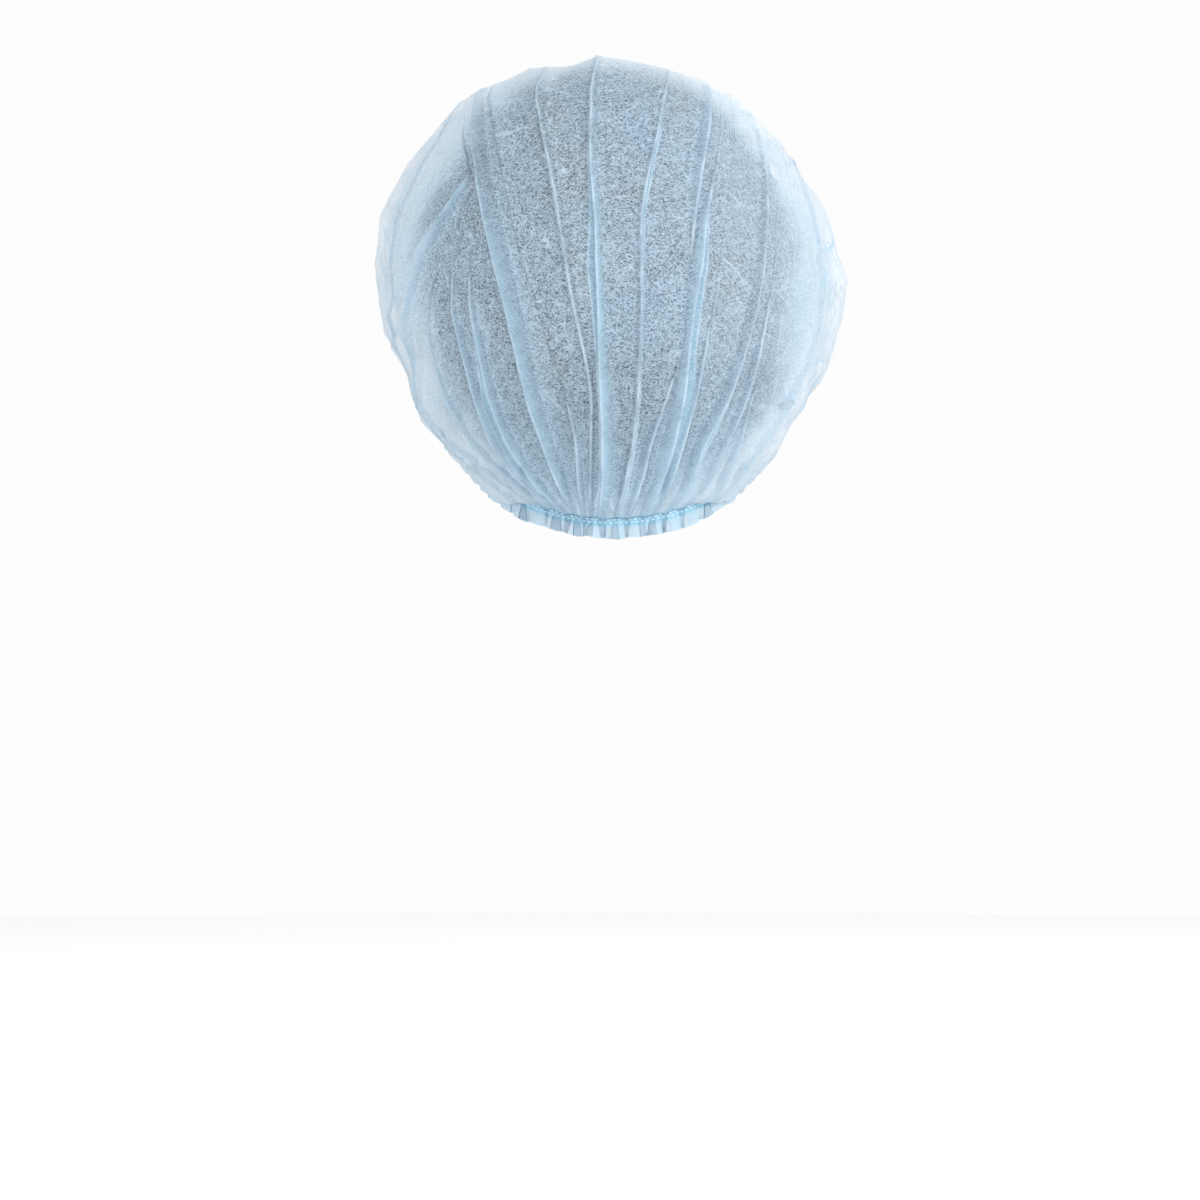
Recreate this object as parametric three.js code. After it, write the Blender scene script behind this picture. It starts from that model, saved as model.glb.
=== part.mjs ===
// Disposable beret cap: a light blue spunbond cap, gathered on an elastic band,
// in the form that it has when it is worn.
// Millimetres, +Z up, +X the wearer's right, +Y the way the wearer faces.
// The origin is the middle of the elastic loop, where the cap sits on a head.
//
// The cap is one sheet of cloth. Its flat coordinates are u, across the head, and
// v, from the nape (-1) over the crown to the forehead (+1). A square of u and v is
// bent into a disc, and the disc's rim is gathered onto the elastic. The accordion
// creases are lines of constant u.

import * as THREE from "three";

// ---- sizes ----
const CLOTH_WALL = 1.3; // the cloth and its small folds, as one wall
const AXIS_Y = -6; // the upright axis that the sections turn round
const TOP_Z = 149; // highest point of the crown
const TOP_SPREAD = 235; // how fast the sheet spreads from the top, per unit of rho

const LOOP = {
  halfWidth: 73, // across the head
  halfDepth: 81, // nape to forehead, seen from above
  halfRise: 64, // the forehead is this much above the middle, the nape this much below
  earDip: 3, // the loop dips over the ears
};

const BAND = { height: 3.2, thickness: 0.9, gap: 0.4, segments: 88 };
// The frill stands off the neck at the nape and lies closer at the sides
const FRILL = { drop: 8.2, flareDeg: 5, napeFlareDeg: 12, ruffle: 1.5, points: 4 };

// Half of the rim that the back edge of the sheet takes up: 0 would give it all to
// the sides, 1 all to the back and front
const BACK_SHARE = 0.7;
const BACK_SPREAD = 0.34; // keeps the creases apart down the back of the head

// ---- sections round the cap ----
// One row for each eighth of the way round, from the nape by the wearer's right.
// Each station is [out from the axis, height].
const SECTIONS = [
  { at: "nape", crown: [56, 142], shoulder: [96, 104], belly: [111, 36], tuck: [88, -47] },
  { at: "back right", crown: [52, 139], shoulder: [91, 101], belly: [107, 38], tuck: [84, -39] },
  { at: "right", crown: [47, 134], shoulder: [84, 99], belly: [105.5, 47], tuck: [89, -4] },
  { at: "front right", crown: [47, 138], shoulder: [88, 110], belly: [112, 68], tuck: [99, 36] },
  { at: "forehead", crown: [46, 143], shoulder: [91, 122], belly: [117, 82], tuck: [103, 60] },
  { at: "front left", crown: [48, 139], shoulder: [91, 112], belly: [113, 68], tuck: [100, 36] },
  { at: "left", crown: [54, 139], shoulder: [96, 101], belly: [109.5, 54], tuck: [92, -2] },
  { at: "back left", crown: [54, 140], shoulder: [95, 101], belly: [108, 40], tuck: [85, -39] },
];
const STATION_RHO = { top: 0, crown: 0.22, shoulder: 0.45, belly: 0.7, tuck: 0.93, rim: 1 };

// ---- folds ----
// The accordion creases, across the head from the wearer's left. `rise` is how far
// the pleat stands up beside the crease at the nape and the forehead.
const CREASES = [
  { u: -0.83, rise: 2.2 },
  { u: -0.72, rise: 2.6 },
  { u: -0.61, rise: 3.0 },
  { u: -0.495, rise: 3.4 },
  { u: -0.385, rise: 3.2 },
  { u: -0.27, rise: 3.2 },
  { u: -0.15, rise: 2.8 },
  { u: -0.035, rise: 3.4 },
  { u: 0.065, rise: 3.0 },
  { u: 0.178, rise: 3.2 },
  { u: 0.3, rise: 3.2 },
  { u: 0.42, rise: 3.2 },
  { u: 0.53, rise: 3.0 },
  { u: 0.64, rise: 2.8 },
  { u: 0.75, rise: 2.4 },
  { u: 0.86, rise: 2.0 },
];
const CROWN_RISE_SHARE = 0.4; // how much of the rise is left on the top of the head
const SIDE_COLUMNS = [-1, -0.965, -0.9, 0.925, 0.97, 1]; // plain columns by the two sides

// Long furrows that divide the puffed sides into lobes. `azimuth` and `lean` place
// the furrow and tilt it forward as it comes down.
const FURROWS = [
  { azimuth: 283, lean: -10, widthDeg: 10, depth: 6.5, from: 0.42, to: 0.97 },
  { azimuth: 246, lean: 6, widthDeg: 9, depth: 4.5, from: 0.5, to: 0.97 },
  { azimuth: 71, lean: 9, widthDeg: 9, depth: 5.0, from: 0.45, to: 0.97 },
  { azimuth: 112, lean: -6, widthDeg: 9, depth: 4.0, from: 0.5, to: 0.97 },
  { azimuth: 205, lean: 3, widthDeg: 8, depth: 3.0, from: 0.6, to: 0.97 },
  { azimuth: 152, lean: -4, widthDeg: 8, depth: 3.0, from: 0.6, to: 0.97 },
];

const ROWS = 30; // rows of the sheet from the nape to the forehead

// ---- small maths ----
const rad = Math.PI / 180;
const smooth = (a, b, x) => {
  const t = Math.min(1, Math.max(0, (x - a) / (b - a)));
  return t * t * (3 - 2 * t);
};

// A cubic through the knots, with the first slope given
function through(knots, values, firstSlope, x) {
  const n = knots.length;
  const slope = values.map((_, i) => {
    if (i === 0) return firstSlope;
    if (i === n - 1) return (values[i] - values[i - 1]) / (knots[i] - knots[i - 1]);
    const left = (values[i] - values[i - 1]) / (knots[i] - knots[i - 1]);
    const right = (values[i + 1] - values[i]) / (knots[i + 1] - knots[i]);
    const wl = knots[i + 1] - knots[i];
    const wr = knots[i] - knots[i - 1];
    return (left * wl + right * wr) / (wl + wr);
  });
  let k = 0;
  while (k < n - 2 && x > knots[k + 1]) k += 1;
  const h = knots[k + 1] - knots[k];
  const t = (x - knots[k]) / h;
  const t2 = t * t;
  const t3 = t2 * t;
  return (
    (2 * t3 - 3 * t2 + 1) * values[k] +
    (t3 - 2 * t2 + t) * h * slope[k] +
    (-2 * t3 + 3 * t2) * values[k + 1] +
    (t3 - t2) * h * slope[k + 1]
  );
}

// A closed cubic round the eight sections
function round(values, degrees) {
  const n = values.length;
  const s = ((((degrees % 360) + 360) % 360) / 360) * n;
  const i = Math.floor(s) % n;
  const t = s - Math.floor(s);
  const [a, b, c, d] = [-1, 0, 1, 2].map((k) => values[(i + k + n) % n]);
  return (
    b +
    0.5 * t * (c - a + t * (2 * a - 5 * b + 4 * c - d + t * (3 * (b - c) + d - a)))
  );
}

// ---- the elastic loop ----
function loopPoint(phi) {
  return new THREE.Vector3(
    LOOP.halfWidth * Math.sin(phi),
    -LOOP.halfDepth * Math.cos(phi),
    -LOOP.halfRise * Math.cos(phi) - LOOP.earDip * Math.sin(phi) ** 2,
  );
}

// ---- the sheet without its creases ----
function bearing(phi) {
  const p = loopPoint(phi);
  return Math.atan2(p.x, -(p.y - AXIS_Y));
}

function outward(phi) {
  const b = bearing(phi);
  return new THREE.Vector3(Math.sin(b), -Math.cos(b), 0);
}

function furrowDepth(rho, degrees) {
  let depth = 0;
  for (const f of FURROWS) {
    const middle = f.azimuth + f.lean * (rho - 0.7) * 4;
    let off = ((degrees - middle + 540) % 360) - 180;
    off /= f.widthDeg;
    depth +=
      f.depth * Math.exp(-off * off) * smooth(f.from, f.from + 0.2, rho) * (1 - smooth(f.to - 0.08, f.to, rho));
  }
  return depth;
}

function sheetPoint(rho, phi) {
  const degrees = (phi / rad + 360) % 360;
  const rim = loopPoint(phi);
  const knots = Object.values(STATION_RHO);
  const names = ["crown", "shoulder", "belly", "tuck"];
  const outs = [0, ...names.map((s) => round(SECTIONS.map((r) => r[s][0]), degrees)), Math.hypot(rim.x, rim.y - AXIS_Y)];
  const ups = [TOP_Z, ...names.map((s) => round(SECTIONS.map((r) => r[s][1]), degrees)), rim.z];
  const out = through(knots, outs, TOP_SPREAD, rho) - furrowDepth(rho, degrees);
  const up = through(knots, ups, 0, rho);
  const e = outward(phi);
  return new THREE.Vector3(e.x * out, AXIS_Y + e.y * out, up);
}

function sheetNormal(rho, phi) {
  if (rho < 1e-6) return new THREE.Vector3(0, 0, 1);
  const d = 1e-3;
  const lo = Math.max(rho - d, 1e-5);
  const hi = Math.min(rho + d, 1);
  const along = sheetPoint(hi, phi).sub(sheetPoint(lo, phi));
  const across = sheetPoint(rho, phi + d).sub(sheetPoint(rho, phi - d));
  return across.cross(along).normalize().negate();
}

// Square to disc, then the creases spread over the back and the front of the head
function discOf(u, v) {
  const x = u * Math.sqrt(1 - (1 - BACK_SHARE) * v * v);
  const y = v * Math.sqrt(1 - BACK_SHARE * u * u);
  const rho = Math.min(1, Math.hypot(x, y));
  let phi = Math.atan2(x, -y);
  phi += 0.5 * BACK_SPREAD * 4 * rho * rho * (1 - rho ** 4) * Math.sin(2 * phi) * 0.65;
  return { rho, phi };
}

// ---- the creases ----
function pleatRise(u, rho) {
  let k = 0;
  while (k < CREASES.length && u > CREASES[k].u - 1e-9) k += 1;
  if (k === 0 || k === CREASES.length) return 0;
  const a = CREASES[k - 1];
  const b = CREASES[k];
  const t = (u - a.u) / (b.u - a.u);
  const shape = t < PEAK ? (t / PEAK) ** 1.4 : (1 - t) / (1 - PEAK);
  const fade = 1 - smooth(0.93, 1, rho);
  return b.rise * shape * fade * (CROWN_RISE_SHARE + (1 - CROWN_RISE_SHARE) * smooth(0.3, 0.85, rho));
}
const PEAK = 0.86;

// ---- the grid ----
const columns = [...SIDE_COLUMNS];
CREASES.forEach((c, k) => {
  columns.push(c.u);
  const next = CREASES[k + 1];
  if (!next) return;
  for (const t of [0.45, PEAK]) columns.push(c.u + t * (next.u - c.u));
});
columns.sort((p, q) => p - q);

const rows = [];
for (let j = 0; j <= ROWS; j += 1) {
  const t = (2 * j) / ROWS - 1;
  rows.push(1.28 * t - 0.28 * t ** 3);
}
rows[0] = -1;
rows[ROWS] = 1;

function crownAndFrill() {
  const position = [];
  const index = [];
  const put = (p) => position.push(p.x, p.y, p.z) / 3 - 1;
  const nu = columns.length;
  const nv = rows.length;
  const outer = [];
  const inner = [];

  // the way round the rim, anticlockwise from above, as [column, row]
  const rimPath = [];
  for (let i = 0; i < nu - 1; i += 1) rimPath.push([i, 0]);
  for (let j = 0; j < nv - 1; j += 1) rimPath.push([nu - 1, j]);
  for (let i = nu - 1; i > 0; i -= 1) rimPath.push([i, nv - 1]);
  for (let j = nv - 1; j > 0; j -= 1) rimPath.push([0, j]);
  const onRim = (i, j) => i === 0 || j === 0 || i === nu - 1 || j === nv - 1;

  const flare = (phi) => (FRILL.flareDeg + FRILL.napeFlareDeg * Math.cos(phi) ** 3) * rad;
  const frillDown = (phi) => outward(phi).multiplyScalar(Math.sin(flare(phi))).add(new THREE.Vector3(0, 0, -Math.cos(flare(phi))));
  const frillIn = (phi) => outward(phi).multiplyScalar(-Math.cos(flare(phi))).add(new THREE.Vector3(0, 0, -Math.sin(flare(phi))));

  for (let j = 0; j < nv; j += 1) {
    for (let i = 0; i < nu; i += 1) {
      const { rho, phi } = discOf(columns[i], rows[j]);
      const edge = onRim(i, j);
      const r = edge ? 1 : rho;
      const base = sheetPoint(r, phi);
      const n = sheetNormal(r, phi);
      const rise = edge ? 0 : pleatRise(columns[i], r);
      outer.push(put(base.clone().addScaledVector(n, rise)));
      if (edge) {
        // the wall turns from the crown into the frill here, so both keep their thickness
        const a = n.clone().negate();
        const b = frillIn(phi);
        const m = a.clone().add(b).multiplyScalar(CLOTH_WALL / Math.max(0.5, 1 + a.dot(b)));
        inner.push(put(base.clone().add(m)));
      } else {
        inner.push(put(base.clone().addScaledVector(n, rise - CLOTH_WALL)));
      }
    }
  }
  const at = (list, i, j) => list[j * nu + i];
  const quad = (a, b, c, d, flip) => {
    if (flip) index.push(a, b, d, b, c, d);
    else index.push(a, b, c, a, c, d);
  };
  for (let j = 0; j < nv - 1; j += 1) {
    for (let i = 0; i < nu - 1; i += 1) {
      const um = columns[i] + columns[i + 1];
      const vm = rows[j] + rows[j + 1];
      const flip = um * vm < 0;
      const o = [at(outer, i, j), at(outer, i + 1, j), at(outer, i + 1, j + 1), at(outer, i, j + 1)];
      const n = [at(inner, i, j), at(inner, i + 1, j), at(inner, i + 1, j + 1), at(inner, i, j + 1)];
      quad(o[0], o[1], o[2], o[3], flip);
      if (flip) index.push(n[0], n[3], n[1], n[1], n[3], n[2]);
      else index.push(n[0], n[2], n[1], n[0], n[3], n[2]);
    }
  }

  // the frill: two rings below the elastic, ruffled at the hem
  const rings = [0.45, 1];
  let lastOuter = rimPath.map(([i, j]) => at(outer, i, j));
  let lastInner = rimPath.map(([i, j]) => at(inner, i, j));
  const count = rimPath.length;
  for (const share of rings) {
    const nextOuter = [];
    const nextInner = [];
    rimPath.forEach(([i, j], k) => {
      const { phi } = discOf(columns[i], rows[j]);
      const wave = Math.sin((2 * Math.PI * k) / FRILL.points + 0.6 * Math.sin(k * 0.37));
      const long = FRILL.drop * share * (1 + 0.05 * Math.sin(k * 0.9));
      const p = loopPoint(phi)
        .addScaledVector(frillDown(phi), long)
        .addScaledVector(frillIn(phi), -FRILL.ruffle * share * wave - 0.2 * share);
      nextOuter.push(put(p));
      nextInner.push(put(p.clone().addScaledVector(frillIn(phi), CLOTH_WALL)));
    });
    for (let k = 0; k < count; k += 1) {
      const m = (k + 1) % count;
      index.push(lastOuter[k], nextOuter[k], nextOuter[m], lastOuter[k], nextOuter[m], lastOuter[m]);
      index.push(lastInner[k], nextInner[m], nextInner[k], lastInner[k], lastInner[m], nextInner[m]);
    }
    lastOuter = nextOuter;
    lastInner = nextInner;
  }
  for (let k = 0; k < count; k += 1) {
    const m = (k + 1) % count;
    index.push(lastOuter[k], lastInner[k], lastInner[m], lastOuter[k], lastInner[m], lastOuter[m]);
  }

  const geometry = new THREE.BufferGeometry();
  geometry.setAttribute("position", new THREE.Float32BufferAttribute(position, 3));
  geometry.setIndex(index);
  return geometry;
}

// ---- the elastic band, inside the waist of the cloth ----
function elasticBand() {
  const position = [];
  const index = [];
  const inset = CLOTH_WALL * 1.45 + BAND.gap;
  const corners = [
    [inset, -BAND.height / 2],
    [inset, BAND.height / 2],
    [inset + BAND.thickness, BAND.height / 2],
    [inset + BAND.thickness, -BAND.height / 2],
  ];
  for (let k = 0; k < BAND.segments; k += 1) {
    const phi = (2 * Math.PI * k) / BAND.segments;
    const p = loopPoint(phi);
    const e = outward(phi);
    for (const [inward, up] of corners) {
      position.push(p.x - e.x * inward, p.y - e.y * inward, p.z + up);
    }
  }
  for (let k = 0; k < BAND.segments; k += 1) {
    const m = (k + 1) % BAND.segments;
    for (let c = 0; c < 4; c += 1) {
      const d = (c + 1) % 4;
      index.push(4 * k + c, 4 * m + c, 4 * m + d, 4 * k + c, 4 * m + d, 4 * k + d);
    }
  }
  const geometry = new THREE.BufferGeometry();
  geometry.setAttribute("position", new THREE.Float32BufferAttribute(position, 3));
  geometry.setIndex(index);
  return geometry;
}

const cloth = new THREE.MeshStandardMaterial({ color: 0xbcd3e4, roughness: 0.9, metalness: 0 });
const rubber = new THREE.MeshStandardMaterial({ color: 0x8fcbe8, roughness: 0.7, metalness: 0 });

const crown = new THREE.Mesh(crownAndFrill(), cloth);
crown.name = "crown_sheet";
const band = new THREE.Mesh(elasticBand(), rubber);
band.name = "elastic_band";

const cap = new THREE.Group();
cap.add(crown, band);
export default cap;
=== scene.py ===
import math

import bpy
import numpy as np
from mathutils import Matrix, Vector
from mathutils.bvhtree import BVHTree


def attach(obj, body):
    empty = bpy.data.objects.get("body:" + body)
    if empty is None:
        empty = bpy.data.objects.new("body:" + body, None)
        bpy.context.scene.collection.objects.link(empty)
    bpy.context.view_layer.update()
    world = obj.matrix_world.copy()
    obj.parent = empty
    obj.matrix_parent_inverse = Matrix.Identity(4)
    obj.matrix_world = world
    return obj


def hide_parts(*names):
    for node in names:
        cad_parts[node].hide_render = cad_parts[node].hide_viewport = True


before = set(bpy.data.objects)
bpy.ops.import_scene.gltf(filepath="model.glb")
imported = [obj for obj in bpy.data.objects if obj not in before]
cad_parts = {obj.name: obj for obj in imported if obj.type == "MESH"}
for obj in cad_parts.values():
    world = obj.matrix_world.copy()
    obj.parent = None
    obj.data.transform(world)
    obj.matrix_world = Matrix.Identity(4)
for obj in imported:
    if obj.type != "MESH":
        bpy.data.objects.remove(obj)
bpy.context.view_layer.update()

# The disposable beret cap. All lengths in this script are millimetres until a mesh is
# written, which is in metres. +X is the wearer's right, +Y the way the wearer faces.
MM = 0.001
rng = np.random.default_rng(20)

# ---------------------------------------------------------------- camera and stage
SCENE = bpy.context.scene
PX = 0.46                      # one pixel of the 1200-pixel frame at the cap, in mm
CAMERA_AT = (-6.0, -2600.0, -99.0)

camera_data = bpy.data.cameras.new("camera")
camera = bpy.data.objects.new("camera", camera_data)
SCENE.collection.objects.link(camera)
camera.location = [c * MM for c in CAMERA_AT]
camera.rotation_euler = (math.radians(90), 0, 0)
camera_data.sensor_width = 36.0
camera_data.lens = 36.0 * (-CAMERA_AT[1]) / (1200 * PX)
camera_data.clip_end = 60
SCENE.camera = camera

# ---------------------------------------------------------------- the sheet, as in the CAD
AXIS_Y, TOP_Z, TOP_SPREAD = -6.0, 149.0, 235.0
HALF_WIDTH, HALF_DEPTH, HALF_RISE, EAR_DIP = 73.0, 81.0, 64.0, 3.0
BACK_SHARE, BACK_SPREAD = 0.7, 0.34
FRILL_DROP = 8.2
FRILL_FLARE, FRILL_NAPE_FLARE = 5.0, 12.0
STATION_RHO = np.array([0, 0.22, 0.45, 0.7, 0.93, 1.0])
# one row for each eighth of the way round, from the nape by the wearer's right
#            crown_out crown_z shoulder_out shoulder_z belly_out belly_z tuck_out tuck_z
SECTIONS = np.array([
    [56, 142, 96, 104, 111.0, 36, 88, -47],     # nape
    [52, 139, 91, 101, 107.0, 38, 84, -39],     # back right
    [47, 134, 84, 99, 105.5, 47, 89, -4],       # right
    [47, 138, 88, 110, 112.0, 68, 99, 36],      # front right
    [46, 143, 91, 122, 117.0, 82, 103, 60],     # forehead
    [48, 139, 91, 112, 113.0, 68, 100, 36],     # front left
    [54, 139, 96, 101, 109.5, 54, 92, -2],      # left
    [54, 140, 95, 101, 108.0, 40, 85, -39],     # back left
], float)
#           azimuth lean width depth from  to
FURROWS = np.array([
    [283, -10, 10, 4.5, 0.42, 0.97],
    [246, 6, 9, 4.5, 0.50, 0.97],
    [71, 9, 9, 5.0, 0.45, 0.97],
    [112, -6, 9, 4.0, 0.50, 0.97],
    [205, 3, 8, 3.0, 0.60, 0.97],
    [152, -4, 8, 3.0, 0.60, 0.97],
], float)


def smooth(a, b, x):
    t = np.clip((np.asarray(x, float) - a) / (b - a), 0, 1)
    return t * t * (3 - 2 * t)


def closed_cubic(values, degrees):
    n = len(values)
    s = (np.asarray(degrees) % 360) / 360 * n
    i = np.floor(s).astype(int)
    t = s - i
    a, b, c, d = (values[(i + k) % n] for k in (-1, 0, 1, 2))
    return b + 0.5 * t * (c - a + t * (2 * a - 5 * b + 4 * c - d + t * (3 * (b - c) + d - a)))


def through(knots, values, first_slope, x):
    n = len(knots)
    h = np.diff(knots)
    steps = [(values[i + 1] - values[i]) / h[i] for i in range(n - 1)]
    slopes = [np.full_like(x, first_slope)]
    for i in range(1, n - 1):
        slopes.append((steps[i - 1] * h[i] + steps[i] * h[i - 1]) / (h[i] + h[i - 1]))
    slopes.append(steps[-1])
    out = np.zeros_like(x)
    k = np.clip(np.searchsorted(knots, x, side="right") - 1, 0, n - 2)
    for i in range(n - 1):
        m = k == i
        if not m.any():
            continue
        t = (x[m] - knots[i]) / h[i]
        v0, v1, s0, s1 = values[i][m], values[i + 1][m], slopes[i][m], slopes[i + 1][m]
        out[m] = ((2 * t**3 - 3 * t**2 + 1) * v0 + (t**3 - 2 * t**2 + t) * h[i] * s0
                  + (-2 * t**3 + 3 * t**2) * v1 + (t**3 - t**2) * h[i] * s1)
    return out


def loop_point(phi):
    return np.stack([HALF_WIDTH * np.sin(phi), -HALF_DEPTH * np.cos(phi),
                     -HALF_RISE * np.cos(phi) - EAR_DIP * np.sin(phi) ** 2], -1)


def outward(phi):
    p = loop_point(phi)
    b = np.arctan2(p[..., 0], -(p[..., 1] - AXIS_Y))
    return np.stack([np.sin(b), -np.cos(b), np.zeros_like(b)], -1)


def sheet_at(rho, phi):
    rho, phi = (np.asarray(a, float) for a in np.broadcast_arrays(rho, phi))
    shape = rho.shape
    rho, phi = rho.ravel(), phi.ravel()
    degrees = np.degrees(phi) % 360
    rim = loop_point(phi)
    zero = np.zeros_like(rho)
    outs = [zero] + [closed_cubic(SECTIONS[:, c], degrees) for c in (0, 2, 4, 6)]
    outs.append(np.hypot(rim[:, 0], rim[:, 1] - AXIS_Y))
    ups = [zero + TOP_Z] + [closed_cubic(SECTIONS[:, c], degrees) for c in (1, 3, 5, 7)]
    ups.append(rim[:, 2])
    out = through(STATION_RHO, outs, TOP_SPREAD, rho)
    up = through(STATION_RHO, ups, 0.0, rho)
    for azimuth, lean, width, depth, start, stop in FURROWS:
        off = ((degrees - azimuth - lean * (rho - 0.7) * 4 + 540) % 360 - 180) / width
        out -= depth * np.exp(-off * off) * smooth(start, start + 0.2, rho) * (1 - smooth(stop - 0.08, stop, rho))
    e = outward(phi)
    return np.stack([e[:, 0] * out, AXIS_Y + e[:, 1] * out, up], -1).reshape(shape + (3,))


def disc_of(u, v):
    x = u * np.sqrt(1 - (1 - BACK_SHARE) * v * v)
    y = v * np.sqrt(1 - BACK_SHARE * u * u)
    rho = np.minimum(1, np.hypot(x, y))
    phi = np.arctan2(x, -y)
    phi = phi + 0.5 * BACK_SPREAD * 4 * rho * rho * (1 - rho**4) * np.sin(2 * phi) * 0.65
    return rho, phi


def sheet(u, v):
    """The smooth sheet at flat coordinates u (across) and v (nape to forehead)."""
    return sheet_at(*disc_of(u, v))


def sheet_frame(u, v):
    """Points, outward normals, and the length in mm of a unit of u and of v."""
    d = 1.5e-3
    u0, u1 = np.clip(u - d, -1, 1), np.clip(u + d, -1, 1)
    v0, v1 = np.clip(v - d, -1, 1), np.clip(v + d, -1, 1)
    pu = (sheet(u1, v) - sheet(u0, v)) / (u1 - u0)[..., None]
    pv = (sheet(u, v1) - sheet(u, v0)) / (v1 - v0)[..., None]
    n = np.cross(pu, pv)
    n /= np.linalg.norm(n, axis=-1, keepdims=True) + 1e-12
    return sheet(u, v), n, np.linalg.norm(pu, axis=-1), np.linalg.norm(pv, axis=-1)


# ---------------------------------------------------------------- noise helpers
def value_noise(x, y, seed, period=64):
    """Smooth noise in -1..1 at unit spacing."""
    table = np.random.default_rng(seed).uniform(-1, 1, (period, period))
    xi, yi = np.floor(x).astype(int), np.floor(y).astype(int)
    tx, ty = x - xi, y - yi
    tx, ty = tx * tx * (3 - 2 * tx), ty * ty * (3 - 2 * ty)
    g = lambda a, b: table[(xi + a) % period, (yi + b) % period]
    return (g(0, 0) * (1 - tx) + g(1, 0) * tx) * (1 - ty) + (g(0, 1) * (1 - tx) + g(1, 1) * tx) * ty


class Crumple:
    """Flat facets with straight ridges between them, as in a crushed thin sheet."""

    def __init__(self, spacing_x, spacing_y, seed):
        r = np.random.default_rng(seed)
        nx, ny = int(2.6 / spacing_x) + 1, int(2.6 / spacing_y) + 1
        points, faces = [], []
        for j in range(ny):
            for i in range(nx):
                x = -1.3 + (i + 0.5 * (j % 2)) * spacing_x + r.uniform(-0.33, 0.33) * spacing_x
                y = -1.3 + j * spacing_y + r.uniform(-0.33, 0.33) * spacing_y
                points.append(Vector((x, y, r.uniform(-1, 1))))
        for j in range(ny - 1):
            for i in range(nx - 1):
                a, b, c, d = j * nx + i, j * nx + i + 1, (j + 1) * nx + i + 1, (j + 1) * nx + i
                faces += [(a, b, d), (b, c, d)] if (j % 2) else [(a, b, c), (a, c, d)]
        self.tree = BVHTree.FromPolygons(points, faces)

    def __call__(self, x, y):
        out = np.zeros(x.size)
        down = Vector((0, 0, -1))
        for k, (a, b) in enumerate(zip(x.ravel(), y.ravel())):
            hit = self.tree.ray_cast(Vector((a, b, 5)), down)[0]
            if hit is not None:
                out[k] = hit.z
        return out.reshape(x.shape)


# ---------------------------------------------------------------- gathers, crushing, outline
# the loop, measured round its edge, and the gathers that the elastic makes along it
dense = np.linspace(-np.pi, np.pi, 4001)
run = np.concatenate([[0], np.cumsum(np.linalg.norm(np.diff(loop_point(dense), axis=0), axis=1))])
PERIMETER = run[-1]
GATHERS = 62


def gather_phase(angle):
    angle = (angle + np.pi) % (2 * np.pi) - np.pi
    s = np.interp(angle, dense, run) / PERIMETER
    wander = 0.30 * value_noise(s * 31, np.zeros_like(s), 21, 31) + 0.55 * value_noise(s * 11, np.ones_like(s), 22, 11)
    return 2 * np.pi * s * GATHERS + 2.1 * wander


BIG_CRUSH, SMALL_CRUSH = Crumple(0.115, 0.20, 3), Crumple(0.050, 0.090, 4)


def relief(u, v):
    """How far the cloth stands off the smooth sheet, its pleats left out."""
    rho, phi = disc_of(u, v)
    gather = np.abs(np.sin(gather_phase(phi) / 2)) ** 0.8 - 0.6
    puff = smooth(0.50, 0.74, np.abs(u)) * (1 - smooth(0.93, 1.0, rho))
    loose = np.clip(0.14 + 0.86 * puff + 0.35 * smooth(0.1, 0.6, v), 0, 1)
    free = 1 - smooth(0.90, 0.995, rho)
    crush = (3.8 * BIG_CRUSH(u, v) * loose + 1.5 * SMALL_CRUSH(u + 0.11, v) * np.clip(loose + 0.10, 0, 1)
             + 0.20 * value_noise(u * 55 + 7, v * 40 + 5, 6)
             + 0.9 * value_noise(u * 9 + 3, v * 4 + 1, 8) * (0.5 + 0.5 * puff)) * free
    return crush + 2.0 * gather * smooth(0.72, 0.97, rho) * (0.35 + 0.65 * free)


def droop(u, v):
    """How far the slack crown sags over the elastic, behind each ear."""
    rho, phi = disc_of(u, v)
    behind_ear = smooth(22, 46, np.abs(np.degrees(phi))) * (1 - smooth(72, 96, np.abs(np.degrees(phi))))
    return 10.0 * behind_ear * smooth(0.78, 0.965, rho) * (1 - smooth(0.974, 1.0, rho))


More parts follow.
